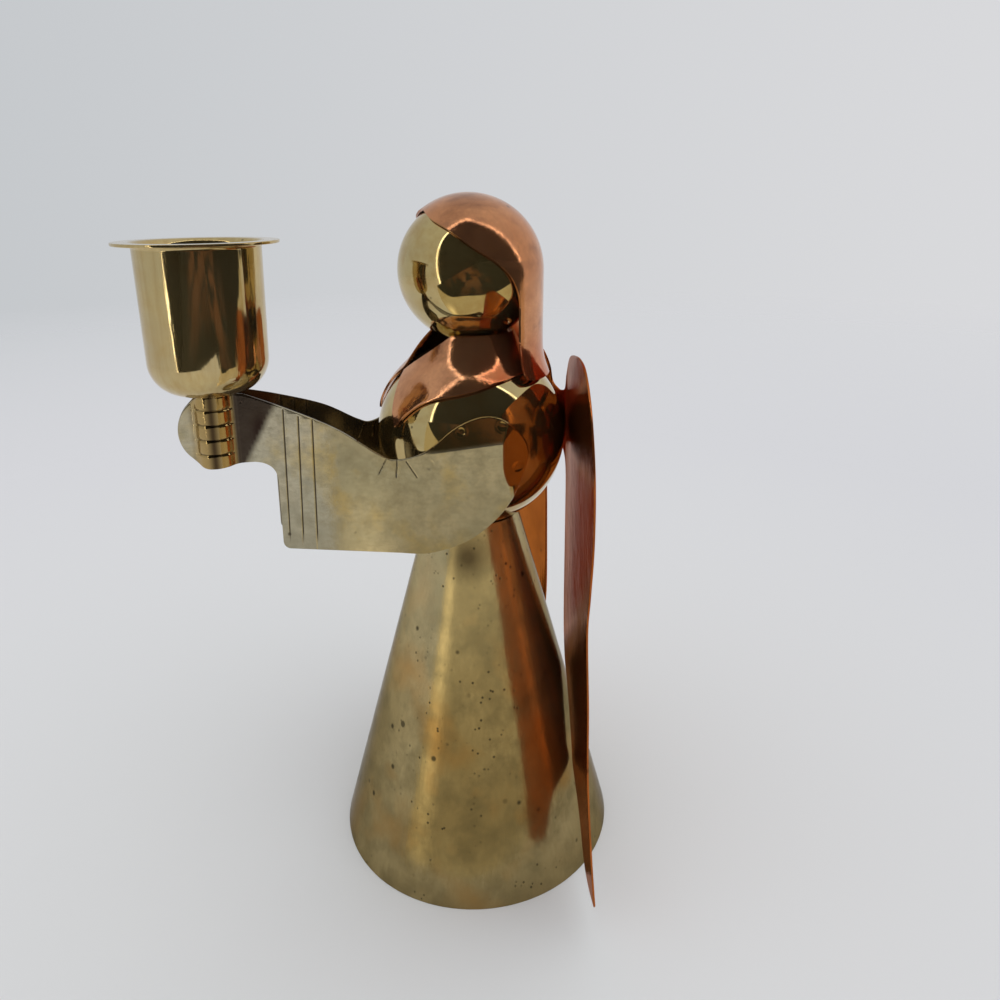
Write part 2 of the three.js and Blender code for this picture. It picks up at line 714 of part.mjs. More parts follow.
function wings() {
  const fold = [-1.5, -0.75, 0, 0.75, 1.75, 3.25].map((step) => foldDistance + step * foldSoftness);
  const half = [0, ...fold, wingHalfSpan + blankMargin];
  const across = [...half.slice(1).reverse().map((x) => -x), ...half];
  const blankBottom = wingTip - 2 * blankMargin;
  const blankTop = wingTop + blankMargin;
  const heights = [0, 1, 2, 3, 4].map((step) => (
    THREE.MathUtils.lerp(blankBottom, blankTop, step / 4)
  ));
  const grid = (side) => across.map((x) => heights.map((z) => {
    const step = 0.01;
    const slope = (wingDepth(Math.abs(x) + step, z) - wingDepth(Math.abs(x), z)) / step;
    const lean = x === 0 ? 0 : Math.sign(x) * slope;
    const normal = new THREE.Vector3(lean, -1, 0).normalize();
    return new THREE.Vector3(x, wingDepth(x, z), z).addScaledVector(normal, side * copperSheet / 2);
  }));
  const blank = toSolid(sheetBetween(grid(1), grid(-1)));
  const cutter = outlineCutter(wingOutline(), 4 * wingHalfSpan, 4).rotateX(Math.PI / 2);
  return toGeometry(blank.intersect(toSolid(cutter)));
}

function atHeight(mesh, height) {
  mesh.position.z = height;
  return mesh;
}

// The right arm is the left arm's mirror image.
function mirrored(geometry) {
  const copy = bare(geometry).scale(-1, 1, 1);
  const corners = copy.index.array;
  for (let i = 0; i < corners.length; i += 3) {
    [corners[i], corners[i + 1]] = [corners[i + 1], corners[i]];
  }
  copy.computeVertexNormals();
  return copy;
}

const figure = new THREE.Group();
figure.add(named('skirt', skirt(), brass));
figure.add(...tieParts());
figure.add(atHeight(named('torso_ball', hollowBall(torsoRadius, true, torsoFacets), brassPolished),
  torsoHeight));
figure.add(atHeight(named('head_ball', hollowBall(headRadius, false, headFacets), brassPolished),
  headHeight));
figure.add(atHeight(named('hair', hair(), copper), headHeight));
figure.add(atHeight(named('collar', collar(), copper), torsoHeight));

const wingSheet = named('wings', wings(), copper);
wingSheet.position.y = wingPlane;
figure.add(wingSheet);

const leftArm = arm();
const hands = new THREE.Group();
hands.position.y = -cupReach;
hands.add(named('arm_left', leftArm, brassPale));
hands.add(named('arm_right', mirrored(leftArm), brassPale));
hands.add(atHeight(named('cup', cup(), brassPolished), cupBottom));
hands.add(atHeight(named('cup_pin', cupPin(), brass), cupBottom));
figure.add(hands);

// The origin is on the table under the middle of the whole object, from rim to hem.
figure.position.y = (cupReach + cupRimRadius - skirtBaseRadius) / 2;

const angel = new THREE.Group();
angel.name = 'angel_candle_holder';
angel.add(figure);

export default angel;
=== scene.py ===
import math

import bpy
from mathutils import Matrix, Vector


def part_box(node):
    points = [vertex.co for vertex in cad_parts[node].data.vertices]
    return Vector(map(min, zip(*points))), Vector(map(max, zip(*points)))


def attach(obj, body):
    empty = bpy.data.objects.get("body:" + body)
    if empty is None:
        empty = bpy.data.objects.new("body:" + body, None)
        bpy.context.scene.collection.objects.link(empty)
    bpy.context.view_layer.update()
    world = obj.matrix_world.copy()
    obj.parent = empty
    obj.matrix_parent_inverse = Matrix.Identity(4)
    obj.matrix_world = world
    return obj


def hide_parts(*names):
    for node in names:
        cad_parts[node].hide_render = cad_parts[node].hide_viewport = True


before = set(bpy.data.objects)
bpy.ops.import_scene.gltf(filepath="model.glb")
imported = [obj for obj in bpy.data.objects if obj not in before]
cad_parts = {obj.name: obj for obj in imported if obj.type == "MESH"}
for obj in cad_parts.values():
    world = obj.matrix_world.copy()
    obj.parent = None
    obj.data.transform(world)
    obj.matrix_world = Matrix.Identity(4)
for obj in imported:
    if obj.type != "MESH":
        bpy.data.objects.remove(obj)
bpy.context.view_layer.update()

# Skirt: a plain cone of brass sheet, spun in one piece and left open below. It carries the
# whole figure on its lower edge. Satin, tarnished olive-brown, with pits and small dark spots.
mm = 0.001
skirt_sheet = 0.8
skirt_edge = 0.15
skirt_top_radius = 10.34
skirt_low, skirt_high = [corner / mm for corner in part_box("skirt")]
skirt_radius = (skirt_high.x - skirt_low.x) / 2
skirt_height = 79.5
figure_y = (skirt_high.y + skirt_low.y) / 2


def begin_afresh():
    if bpy.context.object and bpy.context.object.mode != "OBJECT":
        bpy.ops.object.mode_set(mode="OBJECT")
    bpy.ops.object.select_all(action="DESELECT")


def new_circle(name, sides, radius, fill, axis_y=0, height=0):
    begin_afresh()
    bpy.ops.mesh.primitive_circle_add(vertices=sides, radius=radius * mm, fill_type=fill,
                                      location=(0, axis_y * mm, height * mm))
    bpy.context.object.name = name
    return bpy.context.object


def edit_all():
    bpy.ops.object.mode_set(mode="EDIT")
    bpy.ops.mesh.select_all(action="SELECT")


def spin_up(name, axis_y, rings, sides):
    """Rings of (radius, height) in millimetres, each drawn out of the one before it."""
    radius, height = rings[0]
    piece = new_circle(name, sides, radius, "NOTHING", axis_y, height)
    edit_all()
    for next_radius, next_height in rings[1:]:
        bpy.ops.mesh.extrude_region_move(
            TRANSFORM_OT_translate={"value": (0, 0, (next_height - height) * mm)})
        share = next_radius / radius
        bpy.ops.transform.resize(value=(share, share, 1))
        radius, height = next_radius, next_height
    close_up(piece)
    return piece


def knit():
    """Joins the coincident corners of the piece in hand and turns its faces outwards."""
    edit_all()
    bpy.ops.mesh.remove_doubles(threshold=0.002 * mm)
    bpy.ops.mesh.normals_make_consistent(inside=False)
    bpy.ops.object.mode_set(mode="OBJECT")


def close_up(piece):
    """Knits the piece, puts its origin at zero and smooths it."""
    knit()
    bpy.ops.object.transform_apply(location=True, rotation=True, scale=True)
    smooth(piece)


def smooth(piece):
    """Smooth faces with true flats: the larger face rules the shading where two meet."""
    begin_afresh()
    piece.select_set(True)
    bpy.context.view_layer.objects.active = piece
    bpy.ops.object.shade_smooth_by_angle(angle=math.radians(38))
    bpy.ops.object.modifier_add(type="WEIGHTED_NORMAL")
    piece.modifiers[-1].keep_sharp = True
    bpy.ops.object.modifier_apply(modifier=piece.modifiers[-1].name)


def arc(centre_r, centre_z, radius, start, end, steps):
    """Points of an arc in a half section, from one angle to another, in degrees."""
    turns = [math.radians(start + (end - start) * i / steps) for i in range(steps + 1)]
    return [(centre_r + radius * math.cos(a), centre_z + radius * math.sin(a)) for a in turns]


def new_finish(name):
    look = bpy.data.materials.new(name)
    look.use_nodes = True
    return look, look.node_tree, look.node_tree.nodes["Principled BSDF"]


def set_inputs(node, inputs):
    """Sets a node's inputs to values, or joins them to other nodes."""
    for key, value in inputs.items():
        if isinstance(value, bpy.types.NodeSocket):
            node.id_data.links.new(value, node.inputs[key])
        else:
            node.inputs[key].default_value = value


def add(tree, kind, inputs=None, **settings):
    node = tree.nodes.new(kind)
    for key, value in settings.items():
        setattr(node, key, value)
    set_inputs(node, inputs or {})
    return node


def at_surface(tree, stretch=(1, 1, 1), shift=(0, 0, 0)):
    """Places on the surface, stretched and shifted so that two patterns don't agree."""
    place = add(tree, "ShaderNodeTexCoord").outputs["Object"]
    return add(tree, "ShaderNodeMapping", {
        "Vector": place, "Location": shift, "Scale": stretch}).outputs["Vector"]


def coordinates(tree, **change):
    return add(tree, "ShaderNodeSeparateXYZ", {0: at_surface(tree, **change)}).outputs


def away_from(tree, place):
    """Distance of the surface in metres from a place in millimetres."""
    return add(tree, "ShaderNodeVectorMath", {0: at_surface(tree), 1: Vector(place) * mm},
               operation="DISTANCE").outputs["Value"]


def patches(tree, per_metre, low, high, detail=4.0, grain=0.55, **change):
    """Cloudy patches from 0 to 1, so many to the metre, between two levels of the noise."""
    noise = add(tree, "ShaderNodeTexNoise", {
        "Vector": at_surface(tree, **change), "Scale": per_metre, "Detail": detail,
        "Roughness": grain})
    return between(noise.outputs["Fac"], low, high)


def between(value, low, high, to_low=0.0, to_high=1.0):
    """A value from low to high carried over to another range, and held at its ends."""
    return add(value.id_data, "ShaderNodeMapRange", {
        "Value": value, "From Min": low, "From Max": high, "To Min": to_low, "To Max": to_high,
    }).outputs["Result"]


def blend(share, under, over):
    """One colour laid over another by a share from 0 to 1."""
    under, over = [(*part, 1) if isinstance(part, tuple) else part for part in (under, over)]
    colours = {0: share, 6: under, 7: over}
    return add(share.id_data, "ShaderNodeMix", colours, data_type="RGBA").outputs[2]


def sums(kind, one, two):
    return add(one.id_data, "ShaderNodeMath", {0: one, 1: two}, operation=kind).outputs["Value"]


def times(one, two):
    return sums("MULTIPLY", one, two)


def wash(tint, share, strength, colour):
    """A thin coat of colour over the tint, by a share from 0 to 1 times its strength."""
    return blend(times(share, strength), tint, colour)


def specks(tree, per_metre, size, share, **change):
    """Small round specks from 0 to 1, in a random share of the cells."""
    cells = add(tree, "ShaderNodeTexVoronoi", {
        "Vector": at_surface(tree, **change), "Scale": per_metre})
    round_spot = between(cells.outputs["Distance"], size, size / 2)
    chance = add(tree, "ShaderNodeSeparateColor", {0: cells.outputs["Color"]}).outputs["Red"]
    chosen = between(chance, 1 - share, 1 - share + 0.01)
    return times(round_spot, chosen)


def relief(shader, height, depth):
    bump = add(height.id_data, "ShaderNodeBump", {
        "Height": height, "Distance": depth, "Strength": 1.0})
    set_inputs(shader, {"Normal": bump.outputs["Normal"]})


skirt_finish, tree, shader = new_finish("satin_tarnished_brass")
clouds = patches(tree, 45, 0.38, 0.62)
mottle = patches(tree, 160, 0.42, 0.66, 6, 0.6, shift=(3, 1, 2))
brown = patches(tree, 60, 0.48, 0.68, 3, shift=(7, 5, 1))
streaks = patches(tree, 1400, 0.3, 0.7, 3, stretch=(1, 1, 0.08))
tint = blend(clouds, (0.38, 0.285, 0.125), (0.49, 0.385, 0.185))
tint = wash(tint, mottle, 0.8, (0.2, 0.16, 0.075))
tint = wash(tint, streaks, 0.35, (0.27, 0.205, 0.09))
tint = wash(tint, brown, 0.75, (0.43, 0.235, 0.065))
height = coordinates(tree)["Z"]
# Painted shade: the skirt is coloured darker towards the bottom, for the shaded table that it
# reflects near its foot.
tint = blend(between(height, 0.0, 0.044, 0.45, 0.0), tint, (0.17, 0.125, 0.052))
# Painted reflection: the skirt is coloured paler towards the top, where it mirrors a brighter band.
tint = blend(between(height, 0.04, 0.08, 0.0, 0.5), tint, (0.74, 0.64, 0.37))
pits = specks(tree, 260, 0.19, 0.22)
fine_pits = specks(tree, 800, 0.27, 0.4, shift=(2, 8, 4))
pitted = patches(tree, 70, 0.47, 0.56, 3, shift=(1, 4, 9))
fine_pits = times(fine_pits, pitted)
large_spot = between(away_from(tree, (10.6, -2.1, 34.5)), 0.0006, 0.0009, 0.9, 0.0)
dark = sums("MAXIMUM", sums("MAXIMUM", pits, fine_pits), large_spot)
# Painted shade: a dark patch at the top of the skirt under the near sleeve, for the sleeve's shade
# and the dark inner face that the skirt mirrors there.
painted_sleeve_shade = between(away_from(tree, (11.3, 13.6, 72.8)), 0.001, 0.0065, 0.85, 0.0)
tint = blend(painted_sleeve_shade, tint, (0.09, 0.065, 0.035))
tint = wash(tint, dark, 0.9, (0.05, 0.04, 0.02))
gloss = between(sums("ADD", mottle, streaks), 0, 2, 0.13, 0.27)
set_inputs(shader, {"Base Color": tint, "Metallic": 0.88, "Roughness": gloss,
                    "Specular Tint": (0.52, 0.49, 0.44, 1)})
relief(shader, sums("SUBTRACT", times(streaks, 0.3), dark), 0.00003)

wall_slope = (skirt_radius - skirt_top_radius) / skirt_height
slant_sheet = skirt_sheet * math.hypot(1, wall_slope)
inner_top_drop = 0.1
skirt_rings = [
    (skirt_radius - slant_sheet, 0),
    (skirt_radius - skirt_edge, 0),
    (skirt_radius - skirt_edge * 0.35, skirt_edge * 0.4),
    (skirt_radius - wall_slope * skirt_edge * 1.6, skirt_edge * 1.6),
    (skirt_radius - wall_slope * skirt_height / 2, skirt_height / 2),
    (skirt_top_radius, skirt_height),
    (skirt_top_radius - slant_sheet, skirt_height - inner_top_drop),
    (skirt_radius - slant_sheet, 0),
]
skirt = spin_up("brass_skirt", figure_y, skirt_rings, 192)
skirt.data.materials.append(skirt_finish)
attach(skirt, "angel")
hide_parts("skirt")

# Tie rod with its nut, washer and top plate, up the middle of the figure. Plain zinc-plated
# steel, turned and punched; they draw skirt and balls together and are seen only from below.
steel_finish, tree, shader = new_finish("zinc_plated_steel")
spangle = patches(tree, 500, 0.35, 0.65)
tint = blend(spangle, (0.5, 0.5, 0.51), (0.66, 0.66, 0.68))
gloss = between(spangle, 0, 1, 0.28, 0.45)
set_inputs(shader, {"Base Color": tint, "Metallic": 1.0, "Roughness": gloss})
relief(shader, patches(tree, 2500, 0.3, 0.7), 0.00002)
for node in ("skirt_top_plate", "rod_washer", "rod_nut", "tie_rod"):
    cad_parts[node].data.materials.clear()
    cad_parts[node].data.materials.append(steel_finish)

# Torso and head: two hollow balls spun from brass sheet, polished bright and lightly
# tarnished since. The tie rod passes the torso and ends in the boss inside the head.
ball_sheet = 0.8
opening_radius = 2.2
closed_top = 89.8


def ball_rings(radius, centre_z, open_top, steps):
    """Half section of a hollow ball from its lower opening up the outside and down inside."""
    inside = radius - ball_sheet
    edge = math.degrees(math.acos(opening_radius / radius))
    inner_edge = math.degrees(math.acos(opening_radius / inside))
    top = edge if open_top else closed_top
    inner_top = inner_edge if open_top else closed_top
    outer = arc(0, centre_z, radius, -edge, top, steps)
    inner = arc(0, centre_z, inside, inner_top, -inner_edge, steps)
    return outer + inner + [outer[0]]


ball_finish, tree, shader = new_finish("polished_tarnished_brass")
clouds = patches(tree, 70, 0.4, 0.66)
bloom = patches(tree, 220, 0.45, 0.72, 6, 0.6, shift=(4, 2, 6))
tint = blend(clouds, (0.6, 0.46, 0.2), (0.52, 0.415, 0.205))
tint = wash(tint, bloom, 0.7, (0.42, 0.26, 0.08))
stains = specks(tree, 420, 0.17, 0.06)
tint = wash(tint, stains, 0.7, (0.12, 0.085, 0.04))
gloss = between(bloom, 0, 1, 0.04, 0.13)
set_inputs(shader, {"Base Color": tint, "Metallic": 0.97, "Roughness": gloss})
ripple = patches(tree, 110, 0.2, 0.8, 1, shift=(9, 9, 9))
relief(shader, sums("SUBTRACT", ripple, times(stains, 0.3)), 0.00004)

torso_low, torso_high = [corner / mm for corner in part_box("torso_ball")]
torso_radius = (torso_high.x - torso_low.x) / 2
torso_z = (torso_high.z + torso_low.z) / 2
torso = spin_up("torso_ball_polished", figure_y, ball_rings(torso_radius, torso_z, True, 88), 144)
head_low, head_high = [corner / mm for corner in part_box("head_ball")]
head_radius = (head_high.x - head_low.x) / 2
head_z = head_high.z - head_radius
head = spin_up("head_ball_polished", figure_y, ball_rings(head_radius, head_z, False, 72), 128)
for ball, node in ((torso, "torso_ball"), (head, "head_ball")):
    ball.data.materials.append(ball_finish)
    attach(ball, "angel")
    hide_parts(node)
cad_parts["head_boss"].data.materials.clear()
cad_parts["head_boss"].data.materials.append(ball_finish)

# Hair: a cap of thin copper sheet raised over the head, trimmed round the face and drawn down
# behind to a slightly flared hem that meets the shoulders. Tacked with solder where it rests.
copper_sheet = 0.5
copper_edge = 0.12
sheet_gap = 0.3
hair_side = 6.3
hair_hem_lift = 1.2
hair_flare = 1.4
hair_flare_height = 6.5
hair_radius = head_radius + sheet_gap + copper_sheet / 2
hair_waist = hair_radius - 0.1
hair_hem_radius = hair_waist + hair_flare
hair_hem = (torso_z + math.sqrt((torso_radius + sheet_gap) ** 2
            - (hair_hem_radius - copper_sheet / 2) ** 2) + hair_hem_lift - head_z)


def through(points, steps):
    """A smooth curve through the points, as a spline tool draws it."""
    last = len(points) - 1
    curve = []
    for i in range(steps * last + 1):
        knot = min(i // steps, last - 1)
        t = i / steps - knot
        before = Vector(points[max(knot - 1, 0)])
        start, end = Vector(points[knot]), Vector(points[knot + 1])
        after = Vector(points[min(knot + 2, last)])
        leave, arrive = (end - before) / 2, (after - start) / 2
        curve.append((2 * start - 2 * end + leave + arrive) * t ** 3
                     + (3 * end - 3 * start - 2 * leave - arrive) * t ** 2 + leave * t + start)
    return curve


def distances(points):
    """How far along the line through the points each of them lies."""
    reach = [0.0]
    for one, two in zip(points, points[1:]):
        reach.append(reach[-1] + (two - one).length)
    return reach


def held(value):
    """The value, held between 0 and 1."""
    return min(max(value, 0), 1)


def span_at(marks, goal):
    """Which span of the rising marks holds the goal, and its share of the way along it."""
    k = 0
    while k < len(marks) - 2 and marks[k + 1] < goal:
        k += 1
    return k, (goal - marks[k]) / max(marks[k + 1] - marks[k], 1e-6)


def point_at(curve, marks, goal):
    k, share = span_at(marks, goal)
    return curve[k].lerp(curve[k + 1], held(share))


meridian = [Vector(point) for point in arc(0, 0, hair_radius, 90, 0, 60)[:-1]]
meridian += through([
    (hair_radius, 0),
    (hair_waist + 0.03, hair_hem / 3),
    (hair_waist, hair_hem + hair_flare_height),
    (hair_waist + hair_flare / 4, hair_hem + hair_flare_height / 2),
    (hair_hem_radius, hair_hem),
], 20)
fall = distances(meridian)


def on_meridian(distance):
    """Radius and height at a distance from the crown along the cap's half section."""
    return point_at(meridian, fall, distance)


def meridian_at(height):
    """Distance from the crown at which the half section comes down to a height."""
    k, share = span_at([-point.y for point in meridian], -height)
    return fall[k] + held(share) * (fall[k + 1] - fall[k])


face_edge = through([
    (-9.75, 12.4),
    (-9.5, 10.6),
    (-6.9, 8.4),
    (-3.8, 5.7),
    (-0.5, 3.55),
    (2.1, 1.6),
    (4.3, -0.6),
    (hair_side - 0.5, -3.4),
    (hair_side + 0.1, -6),
    (hair_side + 0.1, -10),
    (hair_side + 0.2, -15),
    (hair_side + 0.9, hair_hem + 1.3),
    (hair_side + 2.4, hair_hem + 0.25),
    (hair_side + 4.3, hair_hem),
], 10)
trim_points = 96
back_points = 28
trim = []
face_run = distances(face_edge)
for i in range(trim_points + 1):
    depth, height = point_at(face_edge, face_run, face_run[-1] * i / trim_points)
    distance = meridian_at(height)
    turn = math.acos(max(-1, min(1, -depth / on_meridian(distance).x)))
    if not trim or turn > trim[-1][0]:
        trim.append((turn, distance))
trim[0] = (0.0, trim[0][1])
corner_turn = trim[-1][0]
trim += [(corner_turn + (math.pi - corner_turn) * (i + 1) / back_points, fall[-1])
         for i in range(back_points)]
trim += [(2 * math.pi - turn, distance) for turn, distance in reversed(trim[1:-1])]


def laid_grid(name, columns, rows, place, closed=False):
    """A grid of faces with its corners at place(column, row), in millimetres."""
    begin_afresh()
    bpy.ops.mesh.primitive_grid_add(x_subdivisions=columns, y_subdivisions=rows, size=2)
    piece = bpy.context.object
    piece.name = name
    for corner in piece.data.vertices:
        column = round((corner.co.x + 1) / 2 * columns)
        row = round((corner.co.y + 1) / 2 * rows)
        corner.co = Vector(place(column % columns if closed else column, row)) * mm
    return piece


def copper_form(name, columns, rows, place, closed=False):
    """A grid formed over a shape, thickened to copper sheet and dressed along its edges."""
    piece = laid_grid(name, columns, rows, place, closed)
    knit()
    thicken = piece.modifiers.new("sheet", "SOLIDIFY")
    thicken.thickness = copper_sheet * mm
    thicken.offset = 0
    bpy.ops.object.modifier_apply(modifier=thicken.name)
    rounded = piece.modifiers.new("edge", "BEVEL")
    rounded.width = copper_edge * mm
    rounded.segments = 2
    rounded.limit_method = "ANGLE"
    rounded.angle_limit = math.radians(55)
    bpy.ops.object.modifier_apply(modifier=rounded.name)
    smooth(piece)
    return piece


hair_rows = 46
peak_lift = 0.08
peak_turn = 0.5
peak_share = 0.7


def hair_place(column, row):
    turn, distance = trim[column]
    share = row / hair_rows
    radius, height = on_meridian(distance * share)
    front = max(0.0, 1 - min(turn, 2 * math.pi - turn) / peak_turn)
    outer = max(0.0, share - peak_share) / (1 - peak_share)
    lift = peak_lift * outer ** 2 * front ** 2
    radius, height = radius + lift, height + lift
    return (radius * math.sin(turn), figure_y - radius * math.cos(turn), head_z + height)


hair_finish, tree, shader = new_finish("satin_copper")
clouds = patches(tree, 55, 0.38, 0.64)
bloom = patches(tree, 180, 0.42, 0.7, 6, 0.62, shift=(5, 3, 1))
grain = patches(tree, 1800, 0.3, 0.7, 2, stretch=(1, 1, 0.15))
smears = patches(tree, 110, 0.55, 0.72, 5, stretch=(1, 0.35, 1), shift=(8, 2, 7))
tint = blend(clouds, (0.74, 0.355, 0.17), (0.62, 0.265, 0.115))
tint = wash(tint, bloom, 0.7, (0.4, 0.175, 0.09))
tint = wash(tint, grain, 0.25, (0.42, 0.17, 0.08))
tint = wash(tint, smears, 0.75, (0.2, 0.085, 0.05))
place = coordinates(tree)
heated = patches(tree, 130, 0.38, 0.55, 3, stretch=(1, 1, 0.4), shift=(3, 6, 2))
heated = times(heated, between(place["Z"], 0.110, 0.122, 0.9, 0.0))
heated = times(heated, between(place["Y"], 0.012, 0.020))
tint = blend(heated, tint, (0.6, 0.13, 0.04))
stains = specks(tree, 300, 0.2, 0.1)
tint = wash(tint, stains, 0.65, (0.1, 0.05, 0.035))
gloss = between(sums("ADD", bloom, grain), 0, 2, 0.07, 0.17)
set_inputs(shader, {"Base Color": tint, "Metallic": 0.93, "Roughness": gloss})
relief(shader, sums("ADD", times(grain, 0.25), bloom), 0.00002)

hair = copper_form("copper_hair", len(trim), hair_rows, hair_place, closed=True)
hair.data.materials.append(hair_finish)
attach(hair, "angel")
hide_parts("hair")

# Collar: a band of copper sheet round the neck, flared down onto the shoulders and turned out
# in front into two pointed lapels with a slit between them. Tacked to the torso under the hair.
collar_top_radius = 9.2
collar_flare_end = 47
collar_opening = 48
collar_opening_curve = 1.6
lapel_slit = 3
lapel_tip_turn = 24.5
lapel_tip_drop = 14.2
lapel_neck_drop = 46
neck_rise = head_z - torso_z - math.sqrt(
    (head_radius + sheet_gap + copper_sheet / 2) ** 2 - (collar_top_radius - copper_sheet / 2) ** 2)
neck_up = math.degrees(math.atan2(neck_rise, collar_top_radius))
neck_reach = math.hypot(neck_rise, collar_top_radius)
front_edge = through([
    (lapel_slit, lapel_neck_drop),
    (lapel_tip_turn / 2, 34.6),
    (lapel_tip_turn * 0.8, 20.6),
    (lapel_tip_turn, lapel_tip_drop),
], 12)
lower_edge = through([
    (lapel_tip_turn, lapel_tip_drop),
    (43, 30),
    (76, 38),
    (110, 45),
    (180, 50),
], 14)
half_collar = front_edge + lower_edge[1:]
collar_edge = half_collar + [Vector((360 - p.x, p.y)) for p in reversed(half_collar[:-1])]
collar_rows = 26


def collar_place(column, row):
    turn, drop = collar_edge[column]
    up = drop + (neck_up - drop) * row / collar_rows
    rise = max(0.0, (up - collar_flare_end) / (neck_up - collar_flare_end))
    lying = torso_radius + sheet_gap + copper_sheet / 2
    reach = lying + (neck_reach - lying) * rise * rise
    above = max(0.0, up - lapel_neck_drop) / (neck_up - lapel_neck_drop)
    turn += collar_opening * above ** collar_opening_curve * (1 - turn / 180)
    up, turn = math.radians(up), math.radians(turn)
    return (reach * math.cos(up) * math.sin(turn),
            figure_y - reach * math.cos(up) * math.cos(turn), torso_z + reach * math.sin(up))


collar = copper_form("copper_collar", len(collar_edge) - 1, collar_rows, collar_place)
collar.data.materials.append(hair_finish)
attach(collar, "angel")
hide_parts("collar")

# Wings: one blank of copper sheet cut to both wings and the bridge between them, folded
# forwards along two soft folds and soldered by the bridge to the torso's back. Darkened.
wing_half_span = 48.3
wing_top = 118.5
wing_tip = 7.8
wing_tip_reach = 44.5
wing_waist = 38
wing_waist_height = 66
wing_margin = 6
bridge_top = 105.5
bridge_bottom = 93
fold_distance = 4.5
fold_softness = 2
fold_sweep = 0.235
fold_twist = 0.0008
wing_plane = figure_y + torso_radius + sheet_gap + copper_sheet / 2
wing_skirt_gap = 0.5


def cut_blank(name, outline, sheet, edge):
    """A blank of sheet cut to an outline of (across, up) points, with its edges rounded."""
    blank = new_circle(name, len(outline), 1, "NGON")
    for corner, (across, up) in zip(blank.data.vertices, outline):
        corner.co = Vector((across, -sheet / 2, up)) * mm
    edit_all()
    bpy.ops.mesh.extrude_region_move(TRANSFORM_OT_translate={"value": (0, sheet * mm, 0)})
    edit_all()
    bpy.ops.mesh.normals_make_consistent(inside=False)
    bpy.ops.mesh.select_all(action="DESELECT")
    bpy.context.tool_settings.mesh_select_mode = (False, True, False)
    bpy.ops.object.mode_set(mode="OBJECT")
    corners = blank.data.vertices
    for line in blank.data.edges:
        one, two = line.vertices
        line.select = abs(corners[one].co.y - corners[two].co.y) < sheet * mm / 2
    bpy.ops.object.mode_set(mode="EDIT")
    bpy.ops.mesh.bevel(offset=edge * mm, segments=2, affect="EDGES")
    return blank


def slice_blank(places, direction):
    """Cuts across the whole blank at the given places, so that it can be formed smoothly."""
    for place in places:
        edit_all()
        bpy.ops.mesh.bisect(
            plane_co=[part * place * mm for part in direction], plane_no=direction)


def form_blank(blank, shape):
    """Each corner goes from the flat blank (across, depth, up) to its place in the piece."""
    bpy.ops.object.mode_set(mode="OBJECT")
    for corner in blank.data.vertices:
        corner.co = Vector(shape(*(corner.co / mm))) * mm
    close_up(blank)


def wing_depth(across, up):
    beyond = abs(across) - fold_distance
    folded = (beyond + math.hypot(beyond, fold_softness)) / 2
    return -(fold_sweep + fold_twist * (up - wing_tip)) * folded


def beside_skirt(up):
    """How far from the middle the wing's inner edge lies to clear the skirt at a height."""
    apart = (wing_skirt_gap + copper_sheet / 2) * math.hypot(1, wall_slope)
    clear = skirt_radius - wall_slope * up + apart
    across, step = wing_margin, 0.01
    while math.hypot(across, wing_plane - figure_y + wing_depth(across, up)) < clear:
        across += step
    return across


outer_edge = through([
    (0, bridge_top),
    (wing_margin - 2.2, bridge_top + 1.1),
    (wing_margin - 0.8, bridge_top + 4.7),
    (wing_margin + 2, bridge_top + 8.2),
    (wing_margin + 6, wing_top - 2.8),
    (19, wing_top - 1.3),
    (28, wing_top - 0.1),
    (37, wing_top - 0.6),
    (wing_half_span - 4, wing_top - 5.6),
    (wing_half_span, wing_top - 16),
    (wing_half_span - 1.6, wing_top - 29),
    (wing_waist + 3.6, wing_waist_height + 10),
    (wing_waist, wing_waist_height),
    (wing_waist + 0.7, wing_waist_height - 16),
    (wing_waist + 0.2, wing_waist_height - 33),
    (wing_tip_reach - 3, wing_tip + 9),
    (wing_tip_reach, wing_tip),
], 6)
inner_edge = through([
    (wing_tip_reach, wing_tip),
    (wing_tip_reach - 5, wing_tip - 0.6),
    (wing_tip_reach - 10, wing_tip + 1),
    (wing_tip_reach - 16.1, wing_tip + 8.8),
    *[(beside_skirt(wing_tip + rise), wing_tip + rise) for rise in (14.2, 18.2, 22.2, 26.2, 30.2)],
    (wing_margin + 2, wing_tip + 34.2),
    (wing_margin, wing_tip + 44),
    (wing_margin, (wing_tip + 44 + bridge_bottom) / 2),
    (wing_margin, bridge_bottom - 6),
    (wing_margin - 2.4, bridge_bottom - 1),
    (0, bridge_bottom),
], 6)
half_wing = outer_edge + inner_edge[1:]
wing_outline = half_wing + [Vector((-p.x, p.y)) for p in reversed(half_wing[1:-1])]


def wing_shape(across, depth, up):
    step = 0.01
    slope = (wing_depth(abs(across) + step, up) - wing_depth(abs(across), up)) / step
    lean = math.copysign(slope, across) if across else 0
    normal = Vector((lean, -1, 0)).normalized()
    return Vector((across, wing_plane + wing_depth(across, up), up)) - normal * depth


wing_finish, tree, shader = new_finish("darkened_copper")
clouds = patches(tree, 40, 0.36, 0.64)
bloom = patches(tree, 150, 0.42, 0.7, 6, 0.6, shift=(2, 6, 3))
rolled = patches(tree, 1500, 0.3, 0.7, 2, stretch=(1, 1, 0.05))
tint = blend(clouds, (0.57, 0.185, 0.05), (0.43, 0.13, 0.034))
tint = wash(tint, bloom, 0.55, (0.24, 0.08, 0.03))
stains = specks(tree, 260, 0.18, 0.08)
tint = wash(tint, stains, 0.6, (0.07, 0.035, 0.025))
gloss = between(sums("ADD", bloom, rolled), 0, 2, 0.08, 0.19)
set_inputs(shader, {"Base Color": tint, "Metallic": 0.92, "Roughness": gloss,
                    "Specular Tint": (0.5, 0.24, 0.12, 1)})
relief(shader, sums("ADD", times(rolled, 0.2), clouds), 0.00005)

